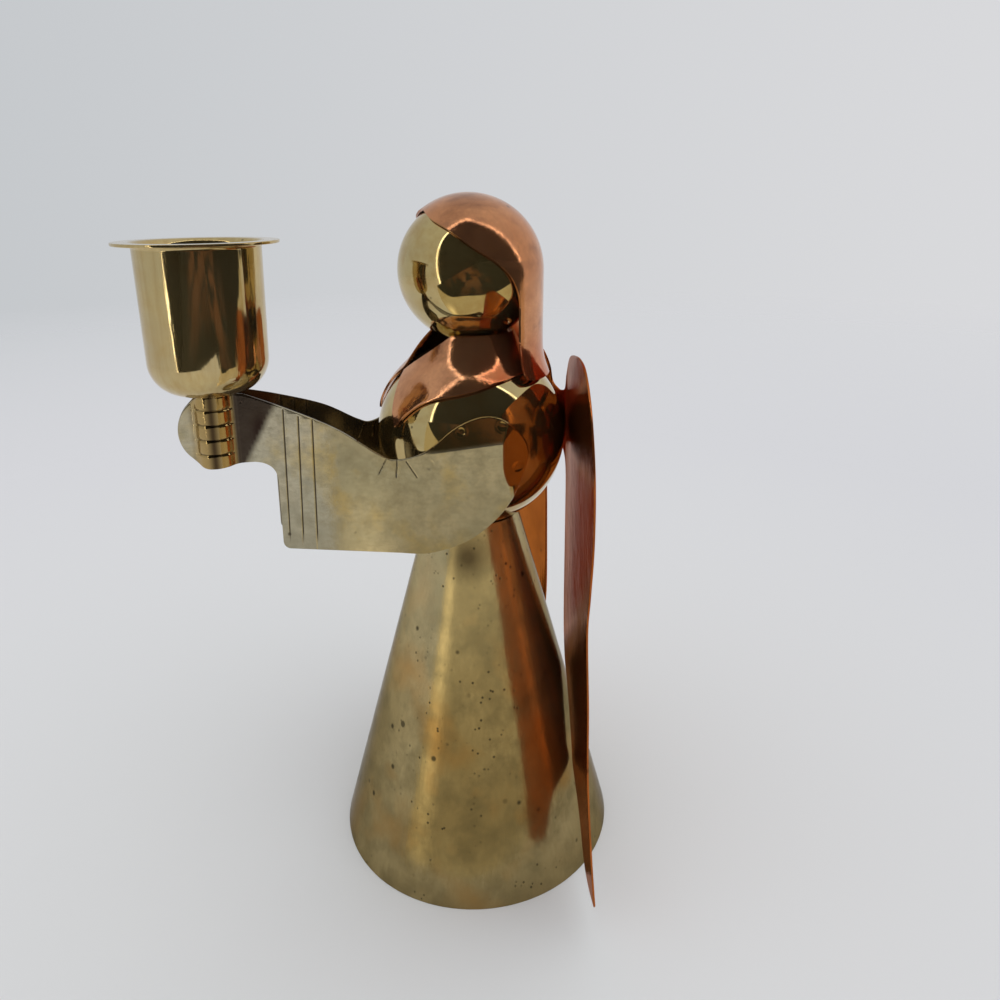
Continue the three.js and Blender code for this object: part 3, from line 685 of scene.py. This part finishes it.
wings = cut_blank("copper_wings", wing_outline, copper_sheet, copper_edge)
fold_cuts = [0, 1.5, 2.5, 3.2, 3.8, 4.4, 5, 5.6, 6.2, 7, 8, 9.5, 11.5, 14, 18, 23, 28, 33, 38, 43]
slice_blank([side * cut for cut in fold_cuts for side in (-1, 1) if cut or side > 0], (1, 0, 0))
slice_blank([wing_tip + 10 * i for i in range(1, 12)], (0, 0, 1))
form_blank(wings, wing_shape)
wings.data.materials.append(wing_finish)
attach(wings, "angel")
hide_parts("wings")

# Arms: each a blank of brass sheet with a flat sleeve, its hand pressed half round the cup's
# pin with four finger grooves, its shoulder dished onto the torso behind a sharp crease.
arm_sheet = 0.7
arm_edge = 0.15
cup_low, cup_high = [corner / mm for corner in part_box("cup")]
pin_y = (cup_low.y + cup_high.y) / 2
cup_reach = figure_y - pin_y
pin_radius = 2.5
hand_half_height = 7.35
hand_z = cup_low.z - sheet_gap - hand_half_height
hand_top = hand_z + hand_half_height
hand_bottom = hand_z - hand_half_height
tab_reach = 6.9
hand_fillet = 1.9
finger_groove = 0.35
finger_pitch = 3.03
groove_press = 0.2
groove_width = 0.22
first_finger = 2.7
finger_grooves = 4
cuff_setback = 12.2
cuff_drop = 19.5
cuff_corner = 1.5
wrist_height = 96.8
elbow_setback = 11.8
elbow_rise = 0.4
shoulder_length = 14
shoulder_rise = 9.2
shoulder_standoff = 0.6
crease_rise = 0.6
crease_climb = 0.17
crease_setback = 9.2
crease_spread = 0.06
crease_slope = 0.33
rear_slope = 0.72
arm_distance = torso_radius + sheet_gap + arm_sheet / 2 + shoulder_standoff
arm_angle = math.asin(arm_distance / cup_reach)
arm_touch = cup_reach * math.cos(arm_angle)
arm_way = Vector((math.sin(arm_angle), math.cos(arm_angle)))
arm_out = Vector((math.cos(arm_angle), -math.sin(arm_angle)))


def arm_outline():
    """The blank's outline as (distance from the pin along the arm, height)."""
    shoulder = arm_touch + shoulder_length
    hem = torso_z - cuff_drop
    top = through([
        (tab_reach * 0.9, hand_top),
        (cuff_setback + 1.8, hand_top - 2.5),
        ((cuff_setback + arm_touch - elbow_setback) / 2, (hand_top + torso_z) / 2),
        (arm_touch - elbow_setback - 4, torso_z + elbow_rise + 1.3),
        (arm_touch - elbow_setback, torso_z + elbow_rise),
        (arm_touch - elbow_setback / 2, torso_z + shoulder_rise / 4),
        (arm_touch, torso_z + shoulder_rise * 0.76),
        (arm_touch + shoulder_length * 0.42, torso_z + shoulder_rise),
        (shoulder - 3.2, torso_z + shoulder_rise * 0.83),
        (shoulder, torso_z + 1.3),
        (shoulder - 3.8, torso_z - 8.5),
        (arm_touch + 2.9, hem + 3.7),
        (arm_touch - 5.3, hem + 0.3),
        (arm_touch - elbow_setback, hem),
    ], 9)
    corner = cuff_setback + cuff_corner
    cuff = [Vector(p) for p in arc(corner, hem + cuff_corner, cuff_corner, -90, -180, 6)]
    wrist = curve_between(
        (cuff_setback, wrist_height - 4), (cuff_setback, wrist_height - 1.2),
        (cuff_setback - 1.8, wrist_height), (cuff_setback - 4.6, wrist_height), 10)
    palm = curve_between(
        (cuff_setback - 4.6, wrist_height), (4, wrist_height - 0.3),
        (3, hand_bottom), (0, hand_bottom), 10)
    tab = [Vector((tab_reach * math.cos(arm_angle) * math.cos(a),
                   hand_z + hand_half_height * math.sin(a)))
           for a in (math.radians(-90 - 180 * i / 36) for i in range(37))]
    return top + cuff + wrist + palm[1:] + tab[1:]


def curve_between(start, pull, press, end, steps):
    """A curve from start to end, drawn towards two pulls on the way."""
    curve = []
    for i in range(steps + 1):
        t = i / steps
        curve.append(Vector(start) * (1 - t) ** 3 + Vector(pull) * 3 * t * (1 - t) ** 2
                     + Vector(press) * 3 * t * t * (1 - t) + Vector(end) * t ** 3)
    return curve


def arm_stations():
    """Plan of the arm from the tab to the shoulder: place, outward normal, share of fingers."""
    ring = pin_radius + sheet_gap + arm_sheet / 2 + finger_groove
    spread = ring + hand_fillet
    tab_side = (sheet_gap + arm_sheet) / 2
    tab_turn = math.asin((tab_side + hand_fillet) / spread)
    sleeve_turn = math.pi - arm_angle - math.asin(hand_fillet / spread)
    stations = [(Vector((tab_side, -tab_reach - 1)), Vector((1, 0)), 0)]

    def bend(centre, start, end, share_start, share_end):
        for i in range(9):
            turn = start + (end - start) * i / 8
            normal = Vector((math.cos(turn), -math.sin(turn)))
            share = share_start + (share_end - share_start) * i / 8
            stations.append((Vector(centre) - normal * hand_fillet, normal, share))

    bend((tab_side + hand_fillet, -spread * math.cos(tab_turn)), 0, math.pi / 2 - tab_turn, 0, 1)
    for i in range(1, 40):
        turn = tab_turn + (sleeve_turn - tab_turn) * i / 40
        normal = Vector((math.sin(turn), -math.cos(turn)))
        stations.append((normal * ring, normal, 1))
    bend((spread * math.sin(sleeve_turn), -spread * math.cos(sleeve_turn)),
         math.pi / 2 - sleeve_turn, arm_angle, 1, 0)
    stations.append((arm_way * (arm_touch + shoulder_length + 1), arm_out, 0))
    return stations


stations = arm_stations()
unrolled = distances([place for place, normal, share in stations])
along = [place.dot(arm_way) for place, normal, share in stations]


def unroll(distance):
    """Distance along the flat blank that lies at a distance from the pin along the arm."""
    k, share = span_at(along, distance)
    return unrolled[k] + share * (unrolled[k + 1] - unrolled[k])


def groove_depth(height):
    """Depth of the finger grooves' pressed floors at a height."""
    depth = 0.0
    for i in range(finger_grooves):
        away = abs(height - (hand_top - first_finger - i * finger_pitch))
        depth = max(depth, groove_press * math.exp(-(away / groove_width) ** 2))
    return depth


def shoulder_dish(distance, height):
    """How far the shoulder is dished in, from the crease to where it lies on the ball."""
    climb = crease_climb * max(0.0, distance - arm_touch + elbow_setback)
    above = max(0.0, height - torso_z - crease_rise - climb)
    below = max(0.0, torso_z - height)
    crease = arm_touch + crease_setback + crease_spread * below ** 2
    behind = max(0.0, distance - crease)
    start, end = arm_touch - elbow_setback * 0.8, arm_touch - elbow_setback * 0.2
    share = held((distance - start) / (end - start))
    reach_in = share * share * (3 - 2 * share)
    from_touch = math.hypot(distance - arm_touch, height - torso_z)
    lying = arm_distance - shoulder_standoff
    room = lying - math.sqrt(max(lying ** 2 - from_touch ** 2, 0)) + shoulder_standoff
    return min(math.hypot(crease_slope * above * reach_in, rear_slope * behind), room)


cuff_lines = [((14.3, 107.9), (13.7, 79.0)), ((17.3, 106.5), (16.5, 78.6)),
              ((20.1, 105.9), (19.5, 78.7))]
elbow_cuts = [((34.6, 98.1), (33.0, 95.0)), ((36.8, 98.0), (36.5, 94.4)),
              ((38.6, 97.8), (40.7, 94.5))]
tacks = [(43.2, 97.3, 1.1), (49.5, 103.8, 0.85), (57.6, 105.2, 0.85), (60.6, 96.8, 1.0)]
line_depth = 0.14
line_width = 0.16
elbow_cut_width = 0.15
cuff_lines_end = 21
elbow_cuts_end = 42
elbow_cuts_foot = 93
tack_depth = 0.14
tack_reach = 2
tack_flatness = 1.2
tack_rim = 1.2
tack_rim_share = 0.5
tack_rim_sharpness = 14
tab_dish = 0.3
tab_dish_place = (-5.3, hand_z + 1.2)
tab_dish_size = (1.1, 2.3)


def line_away(point, line):
    """Distance of a point from a line between two points."""
    start, end = Vector(line[0]), Vector(line[1])
    share = held((point - start).dot(end - start) / (end - start).length_squared)
    return (point - start.lerp(end, share)).length


def tooled(distance, height):
    """Depth of the engraved cuff lines and the elbow cuts at a point."""
    lines, width = [], line_width
    if distance < cuff_lines_end:
        lines = cuff_lines
    elif distance < elbow_cuts_end and height > elbow_cuts_foot:
        lines, width = elbow_cuts, elbow_cut_width
    point = Vector((distance, height))
    away = min([line_away(point, line) for line in lines], default=math.inf)
    return line_depth * math.exp(-(away / width) ** 2)


def dimpled(distance, height):
    """Depth of the tack marks on the shoulder and of the shallow dish in the tab."""
    depth = 0.0
    if distance < 0:
        across = (distance - tab_dish_place[0]) / tab_dish_size[0]
        up = (height - tab_dish_place[1]) / tab_dish_size[1]
        depth = tab_dish * math.exp(-across ** 2 - up ** 2)
    for across, up, radius in tacks:
        away = math.hypot(distance - across, height - up) / radius
        if away < tack_reach:
            rim = tack_rim_share * math.exp(-tack_rim_sharpness * (away - tack_rim) ** 2)
            depth += tack_depth * (math.exp(-tack_flatness * away ** 4) - rim)
    return depth


def arm_place(reach):
    """Place, outward normal and share of fingers at a distance along the flat blank."""
    k, share = span_at(unrolled, reach)
    place = stations[k][0].lerp(stations[k + 1][0], share)
    normal = stations[k][1].lerp(stations[k + 1][1], share).normalized()
    fingers = stations[k][2] + (stations[k + 1][2] - stations[k][2]) * share
    return place, normal, fingers


def arm_shape(reach, depth, height):
    place, normal, fingers = arm_place(reach)
    distance = place.dot(arm_way)
    pushed = depth + fingers ** 3 * groove_depth(height) + shoulder_dish(distance, height)
    if fingers == 0:
        pushed += dimpled(distance, height)
        if distance > 0:
            pushed += tooled(distance, height)
    place = place - normal * pushed
    return (place.x, pin_y + place.y, height)


# Dark reflections painted on the hand, beside the fist leaning out with height and down the fist's
# middle, for the dark surroundings that the polished brass mirrors there.
wrist_dark_reflection_reach = 6.8
wrist_dark_reflection_slope = 0.55
wrist_dark_reflection_fade = 1.4
wrist_dark_reflection_share = 0.94
wrist_core_place = (9.3, wrist_height + 6.2)
wrist_core_size = (1.3, 3.0)
wrist_core_share = 0.1
finger_dark_reflection_turn = -8
finger_dark_reflection_width = 15
finger_dark_reflection_share = 0.9
polished_dish = 0.25
groove_darkness = 0.6


def wrist_painted_reflection(distance, height):
    """Share of the dark reflection painted beside the fist, which leans out with height."""
    reaches = wrist_dark_reflection_reach + wrist_dark_reflection_slope * (height - wrist_height)
    across = (distance - wrist_core_place[0]) / wrist_core_size[0]
    up = (height - wrist_core_place[1]) / wrist_core_size[1]
    core = wrist_core_share * math.exp(-across ** 2 - up ** 2)
    return held((reaches - distance) / wrist_dark_reflection_fade) * min(1.0, wrist_dark_reflection_share + core)


def finger_painted_reflection(normal):
    """Share of the dark reflection painted down the middle of the fist."""
    turn = math.degrees(math.atan2(normal.y, normal.x))
    away = (turn - finger_dark_reflection_turn) / finger_dark_reflection_width
    return finger_dark_reflection_share * math.exp(-away ** 2)


def mark_arm(blank):
    """Notes on each corner how it is tooled, how much dark reflection is painted on it, how it is
    polished, and which side it is on, for the painted shade of the inner face.
    """
    bpy.ops.object.mode_set(mode="OBJECT")
    marks = {}
    for mark in ("cut", "painted_reflection", "polish", "inside"):
        blank.data.attributes.new(mark, "FLOAT", "POINT")
        marks[mark] = [0.0] * len(blank.data.vertices)
    for i, corner in enumerate(blank.data.vertices):
        reach, depth, height = corner.co / mm
        place, normal, fingers = arm_place(reach)
        distance = place.dot(arm_way)
        engraved = tooled(distance, height) if fingers == 0 and distance > 0 else 0
        pressed = fingers ** 3 * groove_depth(height)
        marks["cut"][i] = max(engraved / line_depth, groove_darkness * pressed / groove_press)
        marks["painted_reflection"][i] = fingers * finger_painted_reflection(normal)
        if distance > 0:
            marks["painted_reflection"][i] += (1 - fingers) * wrist_painted_reflection(distance, height)
        marks["polish"][i] = max(fingers, held(shoulder_dish(distance, height) / polished_dish))
        marks["inside"][i] = 1.0 if depth > 0 else 0.0
    for mark, values in marks.items():
        blank.data.attributes[mark].data.foreach_set("value", values)


arm_finish, tree, shader = new_finish("rolled_pale_brass")
cut, painted_reflection, polish, inside = [
    add(tree, "ShaderNodeAttribute", attribute_name=mark).outputs["Fac"]
    for mark in ("cut", "painted_reflection", "polish", "inside")]
clouds = patches(tree, 60, 0.38, 0.66)
warm = patches(tree, 95, 0.5, 0.66, 4, shift=(6, 1, 8))
mottle = patches(tree, 330, 0.4, 0.68, 6, 0.65, shift=(2, 2, 5))
brushed = patches(tree, 1500, 0.4, 0.7, 4, stretch=(1, 0.15, 1), shift=(5, 5, 5))
height = coordinates(tree)["Z"]
tint = blend(clouds, (0.58, 0.505, 0.34), (0.45, 0.42, 0.3))
tint = wash(tint, warm, 0.8, (0.56, 0.42, 0.16))
tint = wash(tint, mottle, 0.7, (0.3, 0.265, 0.175))
# Painted shade: the sleeve is coloured darker towards its lower edge.
tint = blend(between(height, 0.078, 0.096, 0.4, 0.0), tint, (0.25, 0.215, 0.13))
tint = wash(tint, brushed, 0.3, (0.3, 0.255, 0.15))
tint = wash(tint, polish, 0.85, (0.44, 0.29, 0.095))
spots = specks(tree, 330, 0.16, 0.12)
tint = wash(tint, spots, 0.85, (0.08, 0.06, 0.035))
# Painted reflection: the fist's middle and the wrist beside it are coloured nearly black.
tint = blend(painted_reflection, tint, (0.03, 0.015, 0.009))
tint = blend(between(cut, 0.25, 0.8), tint, (0.03, 0.02, 0.01))
# Painted shade: the arm sheet's inner face, towards the torso, is coloured nearly black.
tint = wash(tint, inside, 0.88, (0.07, 0.045, 0.02))
metallic = between(polish, 0, 1, 0.84, 0.98)
gloss = between(sums("ADD", mottle, brushed), 0, 2, 0.12, 0.26)
gloss = times(gloss, between(polish, 0, 1, 1.0, 0.4))
set_inputs(shader, {"Base Color": tint, "Metallic": metallic, "Roughness": gloss})
relief(shader, sums("SUBTRACT", times(mottle, 0.3), spots), 0.00004)

flat_outline = [Vector((unroll(p.x), p.y)) for p in arm_outline()]
arm_left = cut_blank("brass_arm_left", flat_outline, arm_sheet, arm_edge)
hand_end = unroll(along[-2] + 0.5)


def ladder(start, end, step):
    """Even places from start to end, about a step apart."""
    count = max(1, round((end - start) / step))
    return [start + (end - start) * i / count for i in range(count + 1)]


fine_step = 0.17
elbow_foot = 93.4
across_hand = ladder(0.6, hand_end, 0.3)
across_wrist = ladder(4.5, 13.5, 0.6)
across_shoulder = ladder(31, 62, 0.24)
up_hand = ladder(hand_bottom + 0.4, hand_top - 0.4, fine_step)
up_elbow = ladder(elbow_foot, hand_bottom, fine_step)
up_sleeve = [torso_z + crease_rise] + ladder(82, 93, 3.5)
beside_line = [-0.36, *ladder(-0.24, 0.24, 0.08), 0.36]
slice_blank(across_hand + [unroll(d) for d in across_wrist + across_shoulder], (1, 0, 0))
slice_blank(up_hand + up_elbow + up_sleeve, (0, 0, 1))
for (top_reach, top_height), (low_reach, low_height) in cuff_lines:
    lean = Vector((top_height - low_height, 0, low_reach - top_reach)).normalized()
    middle = Vector((unroll((top_reach + low_reach) / 2), 0, (top_height + low_height) / 2))
    slice_blank([middle.dot(lean) + off * lean.x for off in beside_line], lean)
mark_arm(arm_left)
form_blank(arm_left, arm_shape)
arm_left.data.materials.append(arm_finish)

begin_afresh()
arm_left.select_set(True)
bpy.context.view_layer.objects.active = arm_left
bpy.ops.object.duplicate()
arm_right = bpy.context.object
arm_right.name = "brass_arm_right"
for corner in arm_right.data.vertices:
    corner.co.x = -corner.co.x
close_up(arm_right)
for arm_piece, node in ((arm_left, "arm_left"), (arm_right, "arm_right")):
    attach(arm_piece, "angel")
    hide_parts(node)

# Cup: drawn from thin brass sheet with a rounded floor and a flat flange, polished. It takes a
# household candle and turns on its pin, whose head lies on the floor inside.
cup_sheet = 0.6
cup_inner = 11.06
cup_outer = cup_inner + cup_sheet
cup_floor_round = 6.8
rim_fillet = 1.4
rim_edge = 0.15
rim_radius = (cup_high.x - cup_low.x) / 2
cup_depth = cup_high.z - cup_low.z
floor_reach = cup_outer - 0.35 - cup_floor_round
cup_rings = [
    (pin_radius + sheet_gap, 0),
    *arc(floor_reach, cup_floor_round, cup_floor_round, -90, 0, 20),
    *arc(cup_outer + rim_fillet - cup_sheet, cup_depth - rim_fillet, rim_fillet - cup_sheet,
         180, 90, 8),
    (rim_radius - rim_edge, cup_depth - cup_sheet),
    *arc(rim_radius - rim_edge, cup_depth - cup_sheet + rim_edge, rim_edge, -60, 0, 2),
    *arc(rim_radius - rim_edge, cup_depth - rim_edge, rim_edge, 0, 90, 3),
    *arc(cup_inner + rim_fillet, cup_depth - rim_fillet, rim_fillet, 90, 180, 10),
    *arc(floor_reach, cup_floor_round, cup_floor_round - cup_sheet, 0, -90, 20),
    (pin_radius + sheet_gap, cup_sheet),
    (pin_radius + sheet_gap, 0),
]
cup_finish, tree, shader = new_finish("polished_cup_brass")
clouds = patches(tree, 60, 0.4, 0.66)
bloom = patches(tree, 260, 0.45, 0.72, 6, 0.6, shift=(1, 7, 3))
drawn = patches(tree, 1200, 0.3, 0.7, 2, stretch=(1, 1, 0.06))
tint = blend(clouds, (0.64, 0.5, 0.24), (0.55, 0.44, 0.23))
tint = wash(tint, bloom, 0.45, (0.52, 0.34, 0.11))
tint = wash(tint, drawn, 0.4, (0.44, 0.29, 0.11))
stains = specks(tree, 380, 0.15, 0.07)
tint = wash(tint, stains, 0.6, (0.13, 0.09, 0.045))
gloss = between(sums("ADD", bloom, drawn), 0, 2, 0.05, 0.14)
set_inputs(shader, {"Base Color": tint, "Metallic": 0.97, "Roughness": gloss})
relief(shader, times(drawn, 0.5), 0.00002)

cup = spin_up("brass_cup", pin_y, [(r, cup_low.z + z) for r, z in cup_rings], 144)
cup.data.materials.append(cup_finish)
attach(cup, "cup")
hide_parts("cup")

# Cup pin: a turned brass rivet. Its domed head lies on the cup's floor and its shank goes down
# between the two hands, which grip it.
pin_low, pin_high = [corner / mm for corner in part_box("cup_pin")]
pin_head = 4.0
pin_edge = 0.3
near_axis = 0.02
head_bottom = cup_low.z + cup_sheet + sheet_gap
dome = pin_high.z - head_bottom
pin_rings = [
    (near_axis, pin_low.z),
    (pin_radius - pin_edge, pin_low.z),
    (pin_radius, pin_low.z + pin_edge),
    (pin_radius, head_bottom),
    (pin_head, head_bottom),
    (pin_head, head_bottom + dome * 0.3),
    *[(pin_head * math.cos(a), head_bottom + dome * (0.3 + 0.7 * math.sin(a)))
      for a in (math.radians(12 * i) for i in range(1, 8))],
    (near_axis, pin_high.z),
]
cup_pin = spin_up("brass_cup_pin", pin_y, pin_rings, 64)
cup_pin.data.materials.append(cup_finish)
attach(cup_pin, "cup")
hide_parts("cup_pin")

# The table: a pale sheet that runs on into the pale tent round it and keeps the figure's soft
# shadow. Its colour is painted paler near the figure, which lifts that shadow.
table_radius = 1200
table = new_circle("table", 128, table_radius, "NGON")
table_paper, tree, shader = new_finish("pale_table")
away = away_from(tree, (0, 0, 0))
# Painted light: the table is coloured paler near the figure than further out.
set_inputs(shader, {
    "Base Color": blend(between(away, 0.06, 0.34), (0.775, 0.787, 0.795), (0.735, 0.742, 0.77)),
    "Roughness": 1.0, "Specular IOR Level": 0.0})
clear = add(tree, "ShaderNodeBsdfTransparent")
fade = between(away, 0.35, 1.15)
mix = add(tree, "ShaderNodeMixShader", {0: fade, 1: shader.outputs[0], 2: clear.outputs[0]})
set_inputs(tree.nodes["Material Output"], {"Surface": mix.outputs[0]})
table.data.materials.append(table_paper)

# The surroundings: a pale tent, somewhat brighter behind the figure than before it and the same
# in the metal's reflections as in the background, and one broad soft light from above that
# gives the shadow.
world = bpy.data.worlds.new("tent")
bpy.context.scene.world = world
world.use_nodes = True
tree = world.node_tree
tree.nodes.clear()
path = add(tree, "ShaderNodeLightPath")
seen = sums("MAXIMUM", path.outputs["Is Camera Ray"], path.outputs["Is Glossy Ray"])
seen = sums("MAXIMUM", seen, path.outputs["Is Transmission Ray"])
direction = add(tree, "ShaderNodeTexCoord").outputs["Generated"]
backwards = add(tree, "ShaderNodeSeparateXYZ", {0: direction}).outputs["Y"]
tent = blend(between(backwards, -0.25, 0.75), (0.562, 0.582, 0.604), (0.69, 0.694, 0.712))
backdrop = add(tree, "ShaderNodeBackground", {"Color": tent, "Strength": 1.0})
ambient = add(tree, "ShaderNodeBackground", {"Color": (0.76, 0.76, 0.765, 1), "Strength": 1.0})
mixed = add(tree, "ShaderNodeMixShader", {
    0: seen, 1: ambient.outputs[0], 2: backdrop.outputs[0]})
add(tree, "ShaderNodeOutputWorld", {"Surface": mixed.outputs[0]})

top_light = bpy.data.lights.new("top_light", "SUN")
top_light.energy = 0.5
top_light.angle = math.radians(80)
top_light_holder = bpy.data.objects.new("top_light", top_light)
bpy.context.scene.collection.objects.link(top_light_holder)
top_light_holder.rotation_euler = (math.radians(-18), math.radians(16), 0)
top_light_holder.visible_glossy = False

# The tent's front opening, which only shows in the polished metal: a dark room under an arch with
# a thin bright rim, above a pale cloth with one bright fold that stands close round the figure's
# front. Turns are degrees from the left side, and rises are seen from the head.
arch_reach = 450
strip_width = 20
seen_from = Vector((0, figure_y, head_z))
arch_directions = [(-62, -18), (-66, 5), (-70, 30), (-71, 48), (-66, 62), (-29, 80), (30, 71),
                   (50, 55), (60, 30), (68, 8)]
before_opening = 0.98
cloth_foot = 0.5
cloth_top = [(68, 80, 128), (44, 80, 109), (24, 78, 93), (3, 62, 96), (-20, 52, 102),
             (-42, 52, 100), (-53, 52, 107), (-62, 52, 118)]


def seen_at(turn, rise, reach):
    """The place that the head sees in a direction, so far away."""
    turn, rise = math.radians(turn), math.radians(rise)
    return seen_from + reach * Vector((
        math.cos(rise) * math.cos(turn), math.cos(rise) * math.sin(turn), math.sin(rise)))


def only_in_reflections(card, look):
    card.data.materials.append(look)
    for rays in ("camera", "diffuse", "shadow", "transmission", "volume_scatter"):
        setattr(card, "visible_" + rays, False)


arch = through([seen_at(turn, rise, arch_reach) for turn, rise in arch_directions], 8)
arch_rim = [seen_from.lerp(place, before_opening) for place in arch]
cloth_rim = through([(reach * math.cos(math.radians(turn)),
                      figure_y + reach * math.sin(math.radians(turn)), height)
                     for turn, reach, height in cloth_top], 6)
opening_rim = arch + cloth_rim


def strip_place(step, side):
    forwards = arch_rim[min(step + 1, len(arch_rim) - 1)] - arch_rim[max(step - 1, 0)]
    across = forwards.cross(arch_rim[step] - seen_from).normalized() * strip_width
    return arch_rim[step] + across * (side - 0.5)


def cloth_place(step, side):
    return Vector((*cloth_rim[step].xy, cloth_rim[step].z if side else cloth_foot))


room_dark, tree, shader = new_finish("dark_room")
forms = patches(tree, 48, 0.44, 0.54, 2, stretch=(1, 1, 0.5))
forms = times(forms, between(away_from(tree, seen_at(-19, -5, 115)), 0.03, 0.075, 1.0, 0.0))
set_inputs(shader, {
    "Emission Color": blend(forms, (0.018, 0.017, 0.012), (0.15, 0.075, 0.045)),
    "Emission Strength": 1.0, "Base Color": (0, 0, 0, 1), "Roughness": 1.0})
opening = new_circle("dark_opening", len(opening_rim), 1, "TRIFAN")
rim_places = iter(opening_rim)
for corner in opening.data.vertices:
    on_rim = corner.co.length > mm / 2
    corner.co = (next(rim_places) if on_rim else seen_at(0, 15, arch_reach)) * mm
only_in_reflections(opening, room_dark)

strip_light, tree, shader = new_finish("bright_strip")
set_inputs(shader, {
    "Base Color": (0, 0, 0, 1), "Emission Color": (1, 0.98, 0.94, 1), "Emission Strength": 3.0})
only_in_reflections(laid_grid("bright_arch", len(arch_rim) - 1, 1, strip_place), strip_light)

pale_cloth, tree, shader = new_finish("pale_cloth")
from_figure = coordinates(tree, shift=(0, -figure_y * mm, 0))
turn = sums("ARCTAN2", from_figure["Y"], from_figure["X"])
off_fold = sums("ABSOLUTE", sums("ADD", turn, math.radians(54)), 0.0)
fold = between(off_fold, 0.0, math.radians(10), 1.0, 0.0)
fold = times(fold, between(from_figure["Z"], 0.065, 0.09, 1.0, 0.0))
set_inputs(shader, {
    "Emission Color": blend(fold, (0.54, 0.485, 0.355), (1.3, 1.15, 0.82)),
    "Emission Strength": 1.0, "Base Color": (0, 0, 0, 1)})
only_in_reflections(
    laid_grid("cloth_before_opening", len(cloth_rim) - 1, 1, cloth_place), pale_cloth)

# The camera: held close in front of the left side and looking slightly down.
camera_data = bpy.data.cameras.new("camera")
camera_data.sensor_width = 36
camera_data.lens = 28.087
camera_data.shift_x = 0.0008
camera_data.shift_y = -0.0983
camera_data.clip_start = 0.005
camera = bpy.data.objects.new("camera", camera_data)
bpy.context.scene.collection.objects.link(camera)
camera.location = (0.16036, -0.02773, 0.14777)
looking = Vector((-0.9199, 0.3006, -0.2518)).normalized()
upward = Vector((-0.2372, 0.0848, 0.9678))
sideways = looking.cross(upward).normalized()
upward = sideways.cross(looking)
turned = camera.matrix_world.to_3x3()
turned.col[0], turned.col[1], turned.col[2] = sideways, upward, -looking
camera.rotation_euler = turned.to_euler()
bpy.context.scene.camera = camera
bpy.context.scene.view_settings.view_transform = "Standard"
